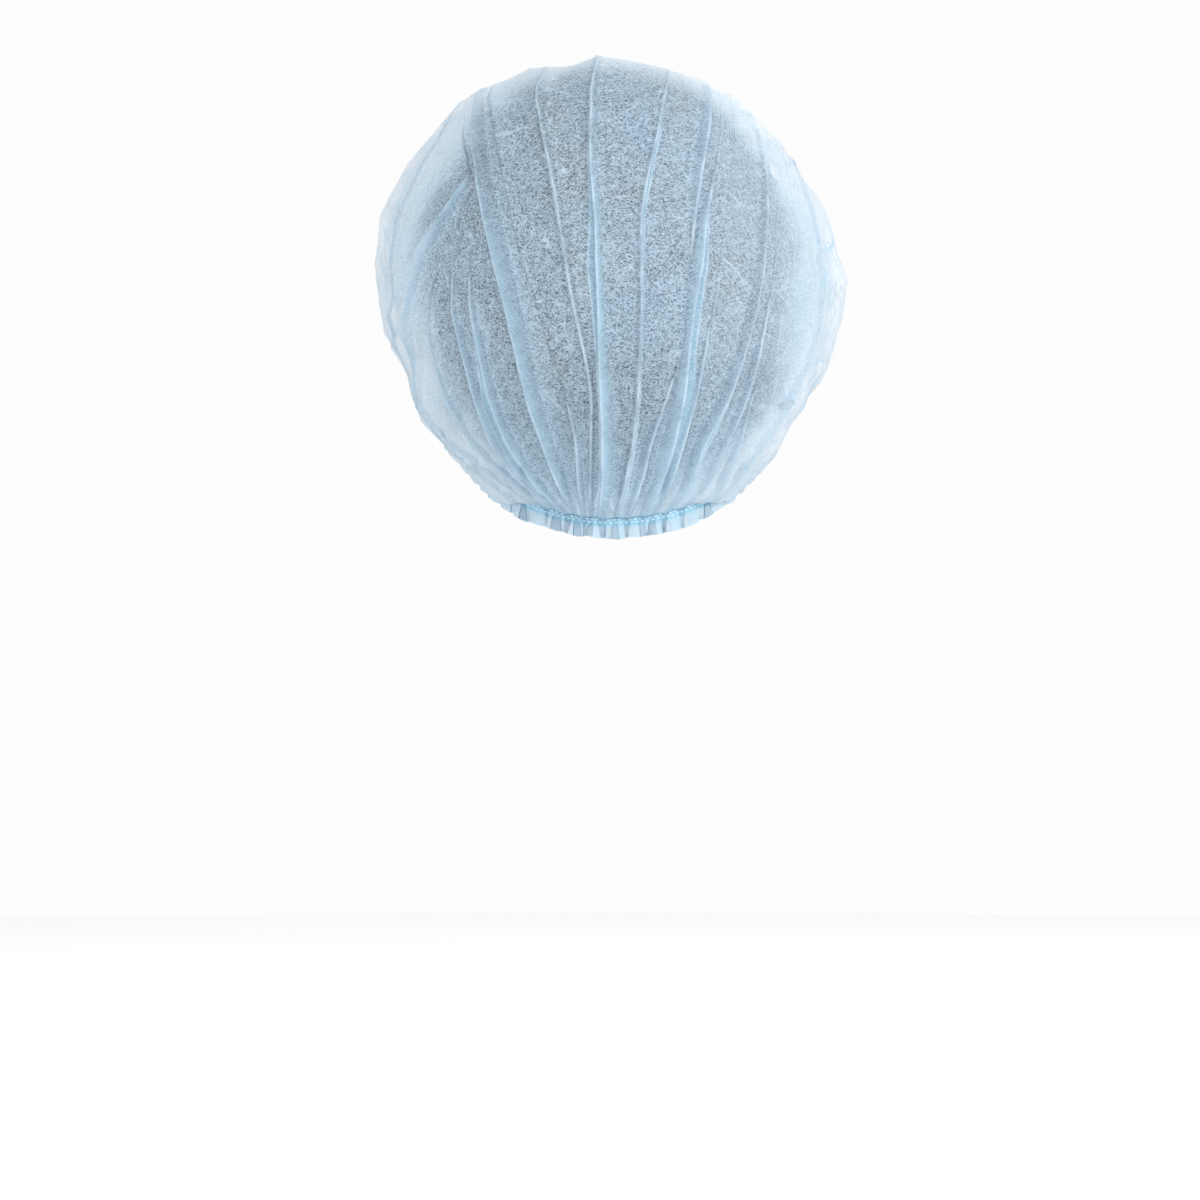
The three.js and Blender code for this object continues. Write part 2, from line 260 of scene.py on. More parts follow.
# the outline of the crown seen from behind, going round from the nape by the wearer's left
#          x       z
OUTLINE = np.array([
    (-4.0, -72.5), (-11.0, -72.0), (-20.0, -71.0), (-28.0, -69.5), (-38.5, -63.5), (-40.0, -61.0), (-47.0, -58.5),
    (-52.5, -54.0), (-54.5, -49.5), (-61.5, -43.0), (-64.5, -38.0), (-72.0, -33.5), (-77.5, -27.0), (-83.5, -22.5),
    (-87.5, -17.0), (-91.0, -9.0), (-93.0, -1.0), (-94.5, 5.0), (-98.0, 11.0), (-102.5, 15.5), (-105.0, 22.5),
    (-107.0, 28.0), (-109.0, 45.5), (-110.5, 54.0), (-108.5, 68.0), (-106.5, 79.5), (-102.5, 85.5), (-98.0, 93.5),
    (-95.5, 99.5), (-84.0, 112.5), (-71.0, 128.0), (-64.0, 133.0), (-45.5, 140.0), (-39.5, 144.0), (-16.5, 146.0),
    (-7.5, 149.0), (5.5, 147.0), (19.5, 144.0), (32.0, 140.5), (39.5, 137.5), (55.0, 130.0), (62.5, 122.5),
    (77.5, 108.0), (85.5, 95.5), (93.0, 86.5), (97.5, 80.5), (102.0, 66.5), (102.0, 57.5), (107.5, 49.0),
    (107.5, 43.0), (106.5, 35.5), (105.5, 31.0), (104.0, 24.5), (101.5, 16.5), (99.5, 11.0), (99.5, 7.5), (96.0, 2.0),
    (91.5, -4.0), (89.0, -10.0), (84.5, -16.0), (81.0, -20.5), (77.5, -26.5), (73.0, -33.0), (68.5, -37.0),
    (64.0, -40.0), (61.0, -43.0), (54.5, -47.5), (53.0, -49.5), (47.5, -54.0), (44.0, -57.5), (37.0, -62.0),
    (34.5, -65.0), (27.5, -67.0), (23.0, -70.5), (17.5, -71.5), (5.5, -72.5)])
MIDDLE_Z = 43.0


def polar(x, z):
    """Bearing from straight down, by the wearer's left, and distance from the middle."""
    return np.arctan2(-x, -(z - MIDDLE_Z)) % (2 * np.pi), np.hypot(x, z - MIDDLE_Z)


bearings = np.radians(np.arange(0, 360, 1.5))
ring_points = np.concatenate([OUTLINE, OUTLINE[:1]])
steps = np.linspace(0, 1, 12, endpoint=False)[:, None, None]
walk = (ring_points[:-1] * (1 - steps) + ring_points[1:] * steps).transpose(1, 0, 2).reshape(-1, 2)
walk_b, walk_r = polar(walk[:, 0], walk[:, 1])
order = np.argsort(walk_b)
wanted_r = np.interp(bearings, walk_b[order], walk_r[order], period=2 * np.pi)

fine_u = np.linspace(-1, 1, 801)
ROWS = 236
t_rows = np.linspace(-1, 1, ROWS)
t_rows = 1.22 * t_rows - 0.22 * t_rows**3
t_rows[0], t_rows[-1] = -1, 1
grid_u, grid_v = np.meshgrid(fine_u[::2], t_rows)
grid_p, grid_n = sheet_frame(grid_u, grid_v)[:2]
grid_p = grid_p + grid_n * (relief(grid_u, grid_v) - 0.3)[..., None]
grid_p[..., 2] -= droop(grid_u, grid_v)
b_now, r_now = polar(grid_p[..., 0], grid_p[..., 2])
slot_of = np.round(b_now / (bearings[1] - bearings[0])).astype(int) % len(bearings)
widest = np.zeros(len(bearings))
np.maximum.at(widest, slot_of.ravel(), r_now.ravel())
widest = np.maximum(np.maximum(widest, np.roll(widest, 1)), np.roll(widest, -1))
widest = (widest + np.roll(widest, 1) + np.roll(widest, -1)) / 3
STRETCH = np.clip(wanted_r / widest, 0.93, 1.09)


def surface(u, v, high):
    """The finished cloth at a place in the sheet, standing this many mm proud of it."""
    p, n = sheet_frame(u, v)[:2]
    p = p + n * (relief(u, v) + high)[..., None]
    p[..., 2] -= droop(u, v)
    b, r = polar(p[..., 0], p[..., 2])
    grow = np.interp(b, bearings, STRETCH, period=2 * np.pi) - 1
    share = r / np.interp(b, bearings, widest, period=2 * np.pi)
    rho = disc_of(u, v)[0]
    grow = grow * smooth(0.66, 0.99, share) * (1 - 0.75 * n[..., 1] ** 2) * (1 - smooth(0.93, 0.998, rho))
    p[..., 0] *= 1 + grow
    p[..., 2] = MIDDLE_Z + (p[..., 2] - MIDDLE_Z) * (1 + grow)
    return p


# ---------------------------------------------------------------- the accordion creases
# A knife pleat for each crease. Its fold edge faces the wearer's left (-1) or right (+1).
# x is where the edge lies on the back at each height, and lap the width of the doubled
# cloth beside it, both in mm; a lap of 0 is where the crease has died out. stand is how
# far the edge is lifted, for each mm of lap.
HEIGHTS = np.array([149, 130, 110, 90, 70, 50, 30, 10, -10, -30, -48, -63], float)
CREASES = [
    (-1, 0.45, [-65.8, -70.7, -80.4, -91.4, -99.0, -102.1, -102.2, -98.5, -90.5, -77.1, -55.9, -37.0],
               [0.6, 0.8, 1.5, 2.5, 3.0, 3.0, 2.5, 2.0, 2.0, 2.2, 2.4, 2.4]),
    (-1, 0.50, [-63.0, -67.5, -68.6, -64.6, -77.9, -89.1, -93.6, -94.4, -89.5, -73.9, -50.5, -31.0],
               [0, 0, 0.6, 3.4, 7.0, 9.5, 10.0, 8.0, 4.0, 3.0, 2.6, 2.4]),
    (-1, 0.40, [-61.2, -66.2, -67.6, -63.8, -67.8, -78.0, -84.2, -81.6, -75.3, -63.8, -45.2, -27.4],
               [0, 0, 0, 0, 0, 0, 1.5, 2.5, 3.0, 3.2, 3.0, 2.4]),
    (-1, 0.42, [-59.4, -65.0, -66.6, -63.0, -64.4, -72.4, -72.6, -67.4, -61.9, -55.0, -41.0, -24.4],
               [0, 0, 0, 0, 0, 1.2, 3.0, 4.5, 6.0, 6.0, 3.8, 2.6]),
    (-1, 0.42, [-57.6, -63.8, -65.6, -62.2, -61.2, -64.4, -64.1, -60.1, -55.7, -47.6, -35.6, -21.4],
               [0, 0, 0, 0, 0, 0.6, 3.0, 4.0, 5.0, 4.6, 3.6, 2.6]),
    (-1, 0.34, [-55.7, -62.5, -64.5, -61.5, -57.9, -53.3, -48.3, -43.6, -39.0, -32.1, -25.3, -17.6],
               [1.5, 4.0, 7.0, 7.5, 8.0, 8.0, 8.0, 7.5, 7.0, 6.0, 4.4, 2.6]),
    (-1, 0.35, [-52.0, -56.9, -54.1, -50.1, -45.7, -40.6, -34.3, -27.9, -21.2, -16.9, -16.2, -14.2],
               [0.9, 0.95, 0.85, 0.5, 0, 0, 0, 0, 0.8, 2.2, 2.6, 2.2]),
    (-1, 0.45, [-29.9, -35.2, -32.5, -28.1, -24.6, -21.5, -17.9, -13.0, -9.7, -10.2, -10.6, -10.8],
               [1.2, 1.6, 2.4, 2.4, 2.4, 2.4, 2.6, 2.4, 1.6, 1.8, 2.0, 1.8]),
    (-1, 0.50, [-7.4, -9.6, -10.6, -10.6, -8.5, -7.8, -7.1, -6.6, -5.9, -5.3, -5.2, -7.0],
               [2.2, 3.0, 3.6, 3.4, 3.2, 3.2, 3.6, 4.4, 5.6, 6.0, 5.6, 3.6]),
    (1, 0.45, [25.3, 23.9, 20.1, 16.1, 12.4, 12.5, 12.6, 12.2, 11.2, 9.2, 5.6, 1.5],
              [0.8, 1.2, 2.0, 2.2, 2.2, 2.2, 2.2, 2.4, 2.4, 2.4, 2.4, 2.0]),
    (1, 0.40, [40.0, 44.2, 42.9, 39.6, 36.3, 34.0, 31.5, 30.0, 24.0, 16.9, 12.8, 7.4],
              [1.2, 3.0, 4.0, 3.6, 2.2, 0.6, 0, 0, 1.6, 3.0, 3.2, 2.4]),
    (1, 0.40, [43.7, 49.0, 48.5, 45.4, 41.7, 39.4, 36.0, 33.7, 31.5, 27.3, 21.7, 14.2],
              [0, 0, 0, 1.2, 3.6, 5.5, 6.0, 6.0, 6.0, 5.6, 4.4, 2.8]),
    (1, 0.40, [47.4, 53.8, 54.8, 53.0, 50.0, 47.6, 44.9, 41.2, 37.1, 31.6, 26.1, 18.4],
              [0, 0, 0, 0, 0, 0, 0.6, 2.2, 2.8, 3.0, 2.8, 2.4]),
    (1, 0.40, [52.9, 61.2, 66.4, 69.0, 68.9, 67.4, 63.7, 58.3, 51.6, 40.8, 34.7, 23.5],
              [0, 0.8, 1.8, 3.6, 4.6, 5.0, 5.5, 5.5, 5.5, 5.0, 4.2, 2.8]),
    (1, 0.42, [56.6, 65.6, 71.6, 74.1, 73.6, 72.2, 69.6, 65.6, 59.8, 51.1, 42.8, 29.1],
              [0, 0, 0, 0, 0, 0, 1.6, 3.2, 3.6, 4.0, 3.6, 2.6]),
    (1, 0.42, [60.3, 69.9, 76.8, 80.6, 82.2, 81.0, 76.5, 69.8, 62.2, 57.1, 49.8, 34.6],
              [0, 0, 0, 0, 0, 0, 0, 0, 1.4, 2.8, 3.0, 2.6]),
    (1, 0.45, [63.9, 72.2, 79.9, 86.9, 92.1, 95.3, 94.6, 89.9, 81.0, 67.4, 54.6, 40.1],
              [0.6, 1.4, 2.4, 2.8, 3.0, 3.2, 3.0, 3.0, 3.0, 3.0, 2.8, 2.4]),
]
N_CREASES = len(CREASES)
FACING = np.array([row[0] for row in CREASES])
# how far the cloth under a crease shows past its fold edge, in mm, at each height; -1 is not at all
UNDER = {
    4: [-1, -1, -1, -1, -1, -0.5, 1.5, 3.0, 4.5, 4.6, 3.6, 2.0],
    7: [-1, -1, 0.3, 0.8, 0.8, 0.6, 0.4, 0.3, 0.3, 0.3, 0.3, 0.3],
    8: [-1, 0.4, 0.6, 1.0, 2.0, 3.9, 2.6, 1.2, 0.8, 0.8, 1.0, 1.2],
    9: [-1, 0.5, 1.2, 1.6, 1.4, 1.0, 0.8, 0.8, 1.0, 1.2, 1.4, 1.2],
    11: [-1, -1, -1, -0.5, 1.5, 3.0, 3.6, 3.6, 5.6, 6.4, 5.0, 2.6],
    13: [-1, -1, -1, -1, -1, -1, -1, 0.4, 1.6, 3.2, 3.0, 2.0],
    15: [-1, -1, -1, -1, -1, -1, -1, -1, -0.5, 1.4, 2.0, 1.6],
}

# how much the doubled cloth beside a crease shows, at each height; 1 where not listed
DOUBLED = {
    0: [0.3, 0.3, 0.35, 0.4, 0.4, 0.4, 0.4, 0.5, 0.6, 0.8, 1, 1],
    4: [0.5, 0.5, 0.5, 0.5, 0.6, 1, 1, 1, 1, 1, 1, 1],
    5: [0.2, 0.2, 0.25, 0.45, 0.75, 1, 1, 1, 1, 1, 1, 1],
    7: [0.3, 0.3, 0.3, 0.35, 0.35, 0.3, 0.25, 0.25, 0.35, 0.5, 0.6, 0.6],
    8: [0.4, 0.45, 0.5, 0.7, 0.9, 1, 1, 1, 1, 1, 1, 1],
    9: [0.5, 0.5, 0.5, 0.5, 0.6, 0.7, 0.6, 0.5, 0.4, 0.4, 0.5, 0.6],
    10: [0.5, 0.6, 0.6, 0.6, 0.6, 0.5, 0.5, 0.5, 0.5, 0.6, 0.8, 1],
    11: [0.6, 0.6, 0.6, 0.7, 0.75, 0.75, 0.75, 0.75, 0.85, 1, 1, 1],
    13: [0.4, 0.4, 0.3, 0.25, 0.25, 0.25, 0.3, 0.4, 0.6, 0.8, 0.9, 1],
    14: [0.4, 0.4, 0.3, 0.3, 0.3, 0.3, 0.3, 0.5, 0.6, 0.8, 0.9, 1],
    16: [0.3, 0.3, 0.3, 0.3, 0.3, 0.3, 0.3, 0.4, 0.5, 0.7, 0.9, 1],
}
# how far the doubled cloth spreads beside a crease, and how sharply it ends; (1, 1.3) where not listed
SPREAD = {7: (0.7, 1.5), 8: (0.78, 2.4), 9: (0.9, 2.0), 11: (0.9, 2.0)}

# small creases on the back: where each begins and ends, half its width (mm), and how plain it is
#    x0     z0     x1     z1   half  plain
FINE_CREASES = np.array([
    (41.4, 57.9, 61.2, 38.1, 0.51, 0.95),
    (50.1, 40.4, 59.3, 28.9, 0.46, 0.70),
    (69.5, 41.4, 81.0, 28.9, 0.46, 0.60),
    (74.1, 64.8, 81.9, 51.5, 0.46, 0.50),
    (41.9, 100.2, 47.4, 83.7, 0.51, 0.50),
    (49.2, 82.3, 59.8, 75.9, 0.51, 0.70),
    (55.2, 101.2, 76.8, 84.1, 0.51, 0.50),
    (-57.0, 106.8, -36.0, 111.0, 0.60, 0.95),
    (-57.5, 125.4, -40.3, 124.6, 0.60, 0.90),
    (-52.0, 93.8, -45.5, 85.1, 0.46, 0.60),
    (-42.3, 138.4, -61.2, 127.8, 0.78, 0.50),
    (-63.5, 27.1, -44.2, 6.9, 0.74, 0.55),
    (-68.5, 94.7, -74.1, 77.2, 0.51, 0.50),
    (-77.7, 56.1, -73.6, 36.3, 0.51, 0.65),
    (58.4, 123.2, 66.7, 111.3, 0.64, 0.80),
    (65.8, 113.1, 78.7, 93.8, 0.69, 0.80),
    (77.7, 95.2, 91.5, 78.2, 0.69, 0.70),
    (52.9, 129.7, 63.9, 112.2, 0.60, 0.60),
    (95.2, 66.2, 107.6, 48.7, 0.69, 0.80),
    (-62.1, 126.9, -76.8, 110.8, 0.78, 0.70),
    (-75.9, 111.7, -90.6, 95.6, 0.78, 0.70),
    (-89.7, 97.0, -97.1, 81.8, 0.78, 0.70),
    (-96.1, 83.7, -103.5, 63.4, 0.78, 0.70),
    (-80.0, 99.3, -85.1, 83.7, 0.69, 0.80),
    (-84.6, 85.5, -89.7, 57.9, 0.69, 0.80),
    (-104.4, 38.6, -98.0, 22.0, 0.64, 0.60),
    (-92.5, 38.6, -96.1, 21.1, 0.64, 0.60),
    (-8.6, -49.6, -11.4, -55.2, 0.50, 1.50),
    (-11.6, -54.6, -11.2, -60.2, 0.50, 1.50),
    (-5.2, -50.0, -8.0, -55.6, 0.50, 1.50),
    (-8.2, -55.0, -7.6, -60.4, 0.50, 1.50),
    (-7.0, -53.6, -0.6, -54.8, 0.50, 1.40),
    (-1.4, -54.4, 1.6, -61.0, 0.50, 1.50),
    (-4.6, -56.4, -1.6, -60.6, 0.50, 1.20),
], float)

# places where the cloth is thin, single and stretched flat: middle, half size, lean, how thin
#    x      z    long   wide  lean thin
THIN_PLACES = np.array([
    (-69.0, 126.0, 6.9, 3.2, 48, 1.00),
    (-79.6, 115.0, 10.1, 4.1, 50, 1.00),
    (-92.0, 99.8, 6.4, 4.1, 48, 1.00),
    (-98.9, 86.9, 9.2, 2.8, 64, 0.90),
    (-105.3, 72.6, 10.1, 3.5, 84, 1.00),
    (-107.2, 57.0, 7.4, 2.5, 82, 0.90),
    (-98.4, 28.5, 6.4, 2.3, 110, 0.70),
    (-97.1, 17.4, 3.7, 1.8, 105, 0.90),
    (45.5, 132.4, 7.8, 3.2, -33, 1.00),
    (56.1, 125.1, 7.4, 3.2, -45, 1.00),
    (66.2, 113.6, 8.3, 3.2, -50, 1.00),
    (80.5, 82.3, 4.1, 2.3, -75, 1.00),
    (72.7, 92.0, 6.0, 1.6, -62, 0.80),
    (99.4, 61.6, 10.1, 2.1, -68, 1.00),
    (102.6, 46.9, 8.7, 4.6, -80, 1.00),
    (99.4, 31.7, 10.1, 4.6, -95, 0.90),
    (94.3, 8.2, 4.1, 2.8, -70, 1.00),
    (84.6, -12.0, 6.0, 2.3, -118, 0.80),
    (75.0, -22.1, 6.0, 3.2, -120, 0.80),
    (70.4, -31.8, 7.4, 2.8, -145, 0.80),
    (57.5, -41.4, 7.8, 2.3, -150, 0.80),
], float)

# the edge of the middle that is painted deeper (painted shade, as of a dark inside seen through the cloth),
# going round from the nape by the wearer's left, and how soft it is (mm)
#      x       z    soft
MIDDLE_EDGE = np.array([
    (0, -61, 7), (-24.4, -59, 8), (-38, -50, 10), (-49.7, -39.6, 10), (-61, -28, 10), (-69.5, -16.6, 9),
    (-74, -7.4, 10), (-77, 6.4, 8), (-78.5, 20, 6), (-80.5, 29.4, 5), (-82, 38.6, 5), (-84, 50, 4),
    (-86, 59.3, 4), (-86, 66.2, 4), (-84.5, 75.4, 4), (-82, 84.6, 5), (-77.5, 92.4, 6), (-70.5, 100.7, 6),
    (-63, 109, 6), (-57.5, 117.7, 6), (-52, 125, 6), (-46, 130.2, 7), (-37.4, 134.3, 8), (-24.4, 138, 8),
    (-6, 139.8, 8), (12.4, 138, 8), (30.8, 132.9, 6), (41, 128.4, 5), (48, 121.5, 5), (54.5, 114, 5),
    (60, 107.2, 5), (65, 99, 5), (71.5, 88.8, 5), (76, 78.7, 5), (79, 68.5, 5), (80.5, 57, 5),
    (81, 38.6, 5), (79.2, 22.5, 6), (75.3, 7.3, 6), (71.5, -4.2, 7), (66.5, -13.8, 8), (60.5, -22, 8),
    (53.8, -31.3, 10), (42.3, -41.9, 10), (30.8, -51, 10), (17, -57, 9)], float)

# where the edge of each crease lies in u, for every row
grid_u, grid_v = np.meshgrid(fine_u, t_rows)
base = surface(grid_u, grid_v, np.full(grid_u.shape, 1.5))
on_back = t_rows < -0.03
kernel = np.hanning(9)
kernel /= kernel.sum()
edges, laps = [], []
for k, (facing, stand, xs, lap) in enumerate(CREASES):
    want = np.interp(base[..., 2], HEIGHTS[::-1], xs[::-1])
    miss = base[..., 0] - want
    found = np.full(ROWS, np.nan)
    z_found = np.full(ROWS, TOP_Z)
    for j in np.nonzero(on_back)[0]:
        cross = np.nonzero((miss[j, :-1] < 0) & (miss[j, 1:] >= 0))[0]
        if len(cross):
            c = cross[-1] if facing < 0 else cross[0]
            found[j] = fine_u[c] - miss[j, c] * (fine_u[c + 1] - fine_u[c]) / (miss[j, c + 1] - miss[j, c])
            z_found[j] = base[j, c, 2]
    good = ~np.isnan(found)
    line = np.interp(t_rows, t_rows[good], found[good])
    width = np.interp(z_found, HEIGHTS[::-1], lap[::-1])
    # over the top and down to the forehead the creases run on, and spread evenly
    top_u = line[np.nonzero(on_back)[0][-1]]
    even = -0.80 + 1.60 * k / (N_CREASES - 1)
    front_u = np.interp(t_rows, [-0.03, 0.45, 1.0], [top_u, 0.5 * top_u + 0.5 * even, even])
    front_lap = np.interp(t_rows, [-0.03, 0.3, 0.7, 1.0], [lap[0], max(1.0, lap[0]), 2.2, 2.4])
    share = smooth(-0.10, 0.02, t_rows)
    line = line * (1 - share) + front_u * share
    width = width * (1 - share) + front_lap * share
    line = np.convolve(np.pad(line, 4, "edge"), kernel, "valid")
    width = np.convolve(np.pad(width, 4, "edge"), kernel, "valid")
    wiggle = 0.0016 * value_noise(t_rows * 9 + 3.1 * k, np.full(ROWS, k * 1.7), 5 + k)
    wiggle += 0.0009 * value_noise(t_rows * 31 + 1.7 * k, np.full(ROWS, k * 2.3), 65 + k)
    line = line + wiggle * (1 - np.abs(t_rows) ** 8)
    edges.append(line)
    laps.append(width * (1 + 0.18 * value_noise(t_rows * 4 + 11 * k, np.full(ROWS, 0.3 * k), 40 + k)))
edges = np.array(edges)
for k in range(1, N_CREASES):
    edges[k] = np.maximum(edges[k], edges[k - 1] + 0.004)
mm_per_u = sheet_frame(edges, np.broadcast_to(t_rows, edges.shape))[2]
laps = np.array(laps)
room = np.diff(edges, axis=0) * 0.5 * (mm_per_u[1:] + mm_per_u[:-1])     # mm between edges
for k in range(N_CREASES):
    free = room[k] if FACING[k] < 0 else room[k - 1]
    shared = FACING[k] < 0 and FACING[min(k + 1, N_CREASES - 1)] > 0 or FACING[k] > 0 and FACING[max(k - 1, 0)] < 0
    laps[k] = np.minimum(laps[k], free * (0.42 if shared else 0.80))
laps = np.maximum(laps, 0.02)
alive = smooth(0.15, 1.3, laps)                                           # 0 where it has died out
stand_mm = np.array([row[1] for row in CREASES])[:, None] * np.minimum(laps, 5.0) + 0.35 * alive
stand_mm *= np.interp(t_rows, [-1, -0.9, -0.35, -0.1, 0.2, 0.6, 1], [0.8, 1, 1, 0.45, 0.6, 1, 0.8])[None, :]
laps_u = laps / mm_per_u
under_mm = np.full((N_CREASES, ROWS), -1.0)
doubled_f = np.ones((N_CREASES, ROWS))
for k in range(N_CREASES):
    c = np.clip(np.searchsorted(fine_u, edges[k]), 0, len(fine_u) - 1)
    z_here = base[np.arange(ROWS), c, 2]
    if k in UNDER:
        under_mm[k] = np.where(on_back, np.interp(z_here, HEIGHTS[::-1], UNDER[k][::-1]), -1.0)
    if k in DOUBLED:
        doubled_f[k] = np.where(on_back, np.interp(z_here, HEIGHTS[::-1], DOUBLED[k][::-1]), DOUBLED[k][0])

# ---------------------------------------------------------------- the columns of the mesh
# Each column is a line of the cloth from the nape to the forehead: where it lies in u, how
# high it stands off the smooth sheet, how far it is from the visible fold edge it belongs
# to (mm), how much the doubled cloth veils what is under it, how far it is inside the strip
# that shows from under a crease (mm), and whether the fold edge catches the light.
columns = []
LIT = {1}


def column(u, high, from_edge, veil, in_under=-12.0, lit=0.0):
    columns.append([np.broadcast_to(np.asarray(c, float), (ROWS,)) for c in (u, high, from_edge, veil, in_under, lit)])


def veiled(k, d):
    """The doubled cloth of crease k at d mm from its edge, which blends into the single cloth past it."""
    spread, power = SPREAD.get(k, (1, 1.3))
    return doubled_f[k] * np.clip(laps[k] / 3.2, 0, 1) ** 1.2 * np.exp(-(np.maximum(d, 0) / (1.15 * spread * laps[k] + 0.3)) ** power)


SLACK = np.interp(t_rows, [-1, -0.9, -0.4, -0.12, 0.3, 1], [0.3, 1, 1, 0.35, 0.5, 0.8])


def over_fold(share, across):
    """Height of the top layer, as a share of the stand: over the doubled cloth, then past it."""
    return np.where(share < 1, 1 - 0.70 * np.clip(share, 0, 1), 0.30 * np.clip(1 - across, 0, 1) ** 2)


def panel(left, right, count):
    """The cloth from one crease to the next; None is the side edge of the sheet."""
    a_edge = edges[left] if left is not None else np.full(ROWS, -1.0)
    b_edge = edges[right] if right is not None else np.full(ROWS, 1.0)
    a, b = a_edge, b_edge
    doubled_a = doubled_b = np.full(ROWS, 1e-4)
    if left is not None:
        if FACING[left] > 0:
            a = a_edge - laps_u[left]
        else:
            doubled_a = laps_u[left]
    if right is not None:
        if FACING[right] < 0:
            b = b_edge + laps_u[right]
        else:
            doubled_b = laps_u[right]
    width = np.maximum(b_edge - a_edge, 1e-4)
    single = np.maximum(width - doubled_a - doubled_b, 1e-4)
    mm = 0.5 * (mm_per_u[left] if left is not None else mm_per_u[right]) + 0.5 * (mm_per_u[right] if right is not None else mm_per_u[left])
    long = (b - a) * mm
    near = [0.7, 1.7, 3.4]
    inner = count - 2 * len(near) - 2
    stops = [np.zeros(ROWS)]
    for i, d in enumerate(near):
        stops.append(np.minimum(d / long, 0.09 * (i + 1)))
    low, top = stops[-1], 1 - stops[-1]
    for i in range(inner):
        stops.append(low + (top - low) * (i + 1) / (inner + 1))
    stops += [1 - s for s in stops[len(near):0:-1]] + [np.ones(ROWS)]
    for s in stops:
        u = a + (b - a) * s
        local = np.clip((u - a_edge - doubled_a) / single, 0, 1)
        sag = 0.0 if left is None or right is None else np.minimum((single * mm) ** 2 / 900, 1.8) * SLACK
        high = -sag * 4 * local * (1 - local)
        if left is not None and FACING[left] < 0:
            high = high + over_fold((u - a_edge) / doubled_a, (u - a_edge) / width) * stand_mm[left]
        if right is not None and FACING[right] > 0:
            high = high + over_fold((b_edge - u) / doubled_b, (b_edge - u) / width) * stand_mm[right]
        from_edge, veil, lit = np.full(ROWS, 30.0), np.zeros(ROWS), 0.0
        if left is not None and FACING[left] < 0:
            d = (u - a_edge) * mm
            from_edge = np.minimum(from_edge, np.maximum(d, 0) + 6 * (1 - alive[left]))
            veil = np.maximum(veil, veiled(left, d))
            lit = 1.0 - np.clip(d / 4, 0, 1) if left in LIT else 0.0
        if right is not None and FACING[right] > 0:
            d = (b_edge - u) * mm
            from_edge = np.minimum(from_edge, np.maximum(d, 0) + 6 * (1 - alive[right]))
            veil = np.maximum(veil, veiled(right, d))
        in_under = np.full(ROWS, -30.0)
        if left is not None and FACING[left] > 0:
            in_under = np.maximum(in_under, under_mm[left] - (u - a_edge) * mm)
        if right is not None and FACING[right] < 0:
            in_under = np.maximum(in_under, under_mm[right] - (b_edge - u) * mm)
        column(u, high, np.minimum(from_edge, 12), veil, np.maximum(in_under, -12), lit)


def fold_back(k):
    """The hidden return of the cloth under the fold edge, in the order the cloth runs."""
    e, o, h, lit = edges[k], laps_u[k], stand_mm[k], float(k in LIT)
    turn = np.minimum(0.30, 0.3 * laps[k]) / mm_per_u[k]
    steps = [0.12, 0.40, 0.68, 0.90]
    if FACING[k] < 0:
        for m in steps:
            column(e + o * (1 - m), h * (0.13 + 0.66 * m), 4, 0.6, lit=lit)
        column(e - turn, h * 0.88, 0.1, 0.6, lit=lit)
    else:
        column(e + turn, h * 0.88, 0.1, 0.6, lit=lit)
        for m in steps:
            column(e - o * m, h * (0.79 - 0.66 * m), 4, 0.6, lit=lit)


panel(None, 0, 22)
for k in range(N_CREASES):
    fold_back(k)
    last = k == N_CREASES - 1
    panel(k, None if last else k + 1, 22 if last else 11)
U, H, FROM_EDGE, VEIL, IN_UNDER, CATCHES = (np.array([c[i] for c in columns]) for i in range(6))
COLS = len(U)
U = np.clip(U, -1, 1)
U[0], U[-1] = -1, 1
V = np.broadcast_to(t_rows[None, :], U.shape).copy()

rho, phi = disc_of(U, V)
phase = gather_phase(phi)
long_wave = value_noise(phi * 7 + 30, rho * 2, 24)
points = sheet(U, V)
bulge = 2.4 * np.exp(-((points[..., 0] + 2.0) / 5.0) ** 2 - ((points[..., 2] + 52.0) / 7.0) ** 2) * (V < 0)
P = surface(U, V, H * (1 - 0.70 * smooth(0.90, 0.995, rho)) + bulge)

# ---------------------------------------------------------------- the waist and the frill
BAND_HALF = 1.6
path = [(i, 0) for i in range(COLS - 1)]
path += [(COLS - 1, j) for j in range(ROWS - 1)]
path += [(i, ROWS - 1) for i in range(COLS - 1, 0, -1)]
path += [(0, j) for j in range(ROWS - 1, 0, -1)]
path_i = np.array([p[0] for p in path])
path_j = np.array([p[1] for p in path])
N_PATH = len(path)
rim_phi = phi[path_i, path_j]
rim_phase = phase[path_i, path_j]
shape_h = np.clip(0.55 + 0.55 * np.cos(rim_phase) + 0.10 * H[path_i, path_j], 0, 1.5)
e_out = outward(rim_phi)
flare = np.radians(FRILL_FLARE + FRILL_NAPE_FLARE * np.cos(rim_phi) ** 3 - 26 * np.exp(-((np.abs(rim_phi) - 1.25) / 0.42) ** 2))
down = e_out * np.sin(flare)[:, None] + np.array([0, 0, -1.0]) * np.cos(flare)[:, None]
stand_off = e_out * np.cos(flare)[:, None] + np.array([0, 0, 1.0]) * np.sin(flare)[:, None]
rim = loop_point(rim_phi)
along = loop_point(rim_phi + 1e-3) - loop_point(rim_phi - 1e-3)
along /= np.linalg.norm(along, axis=1, keepdims=True)
up = np.array([0, 0, 1.0])

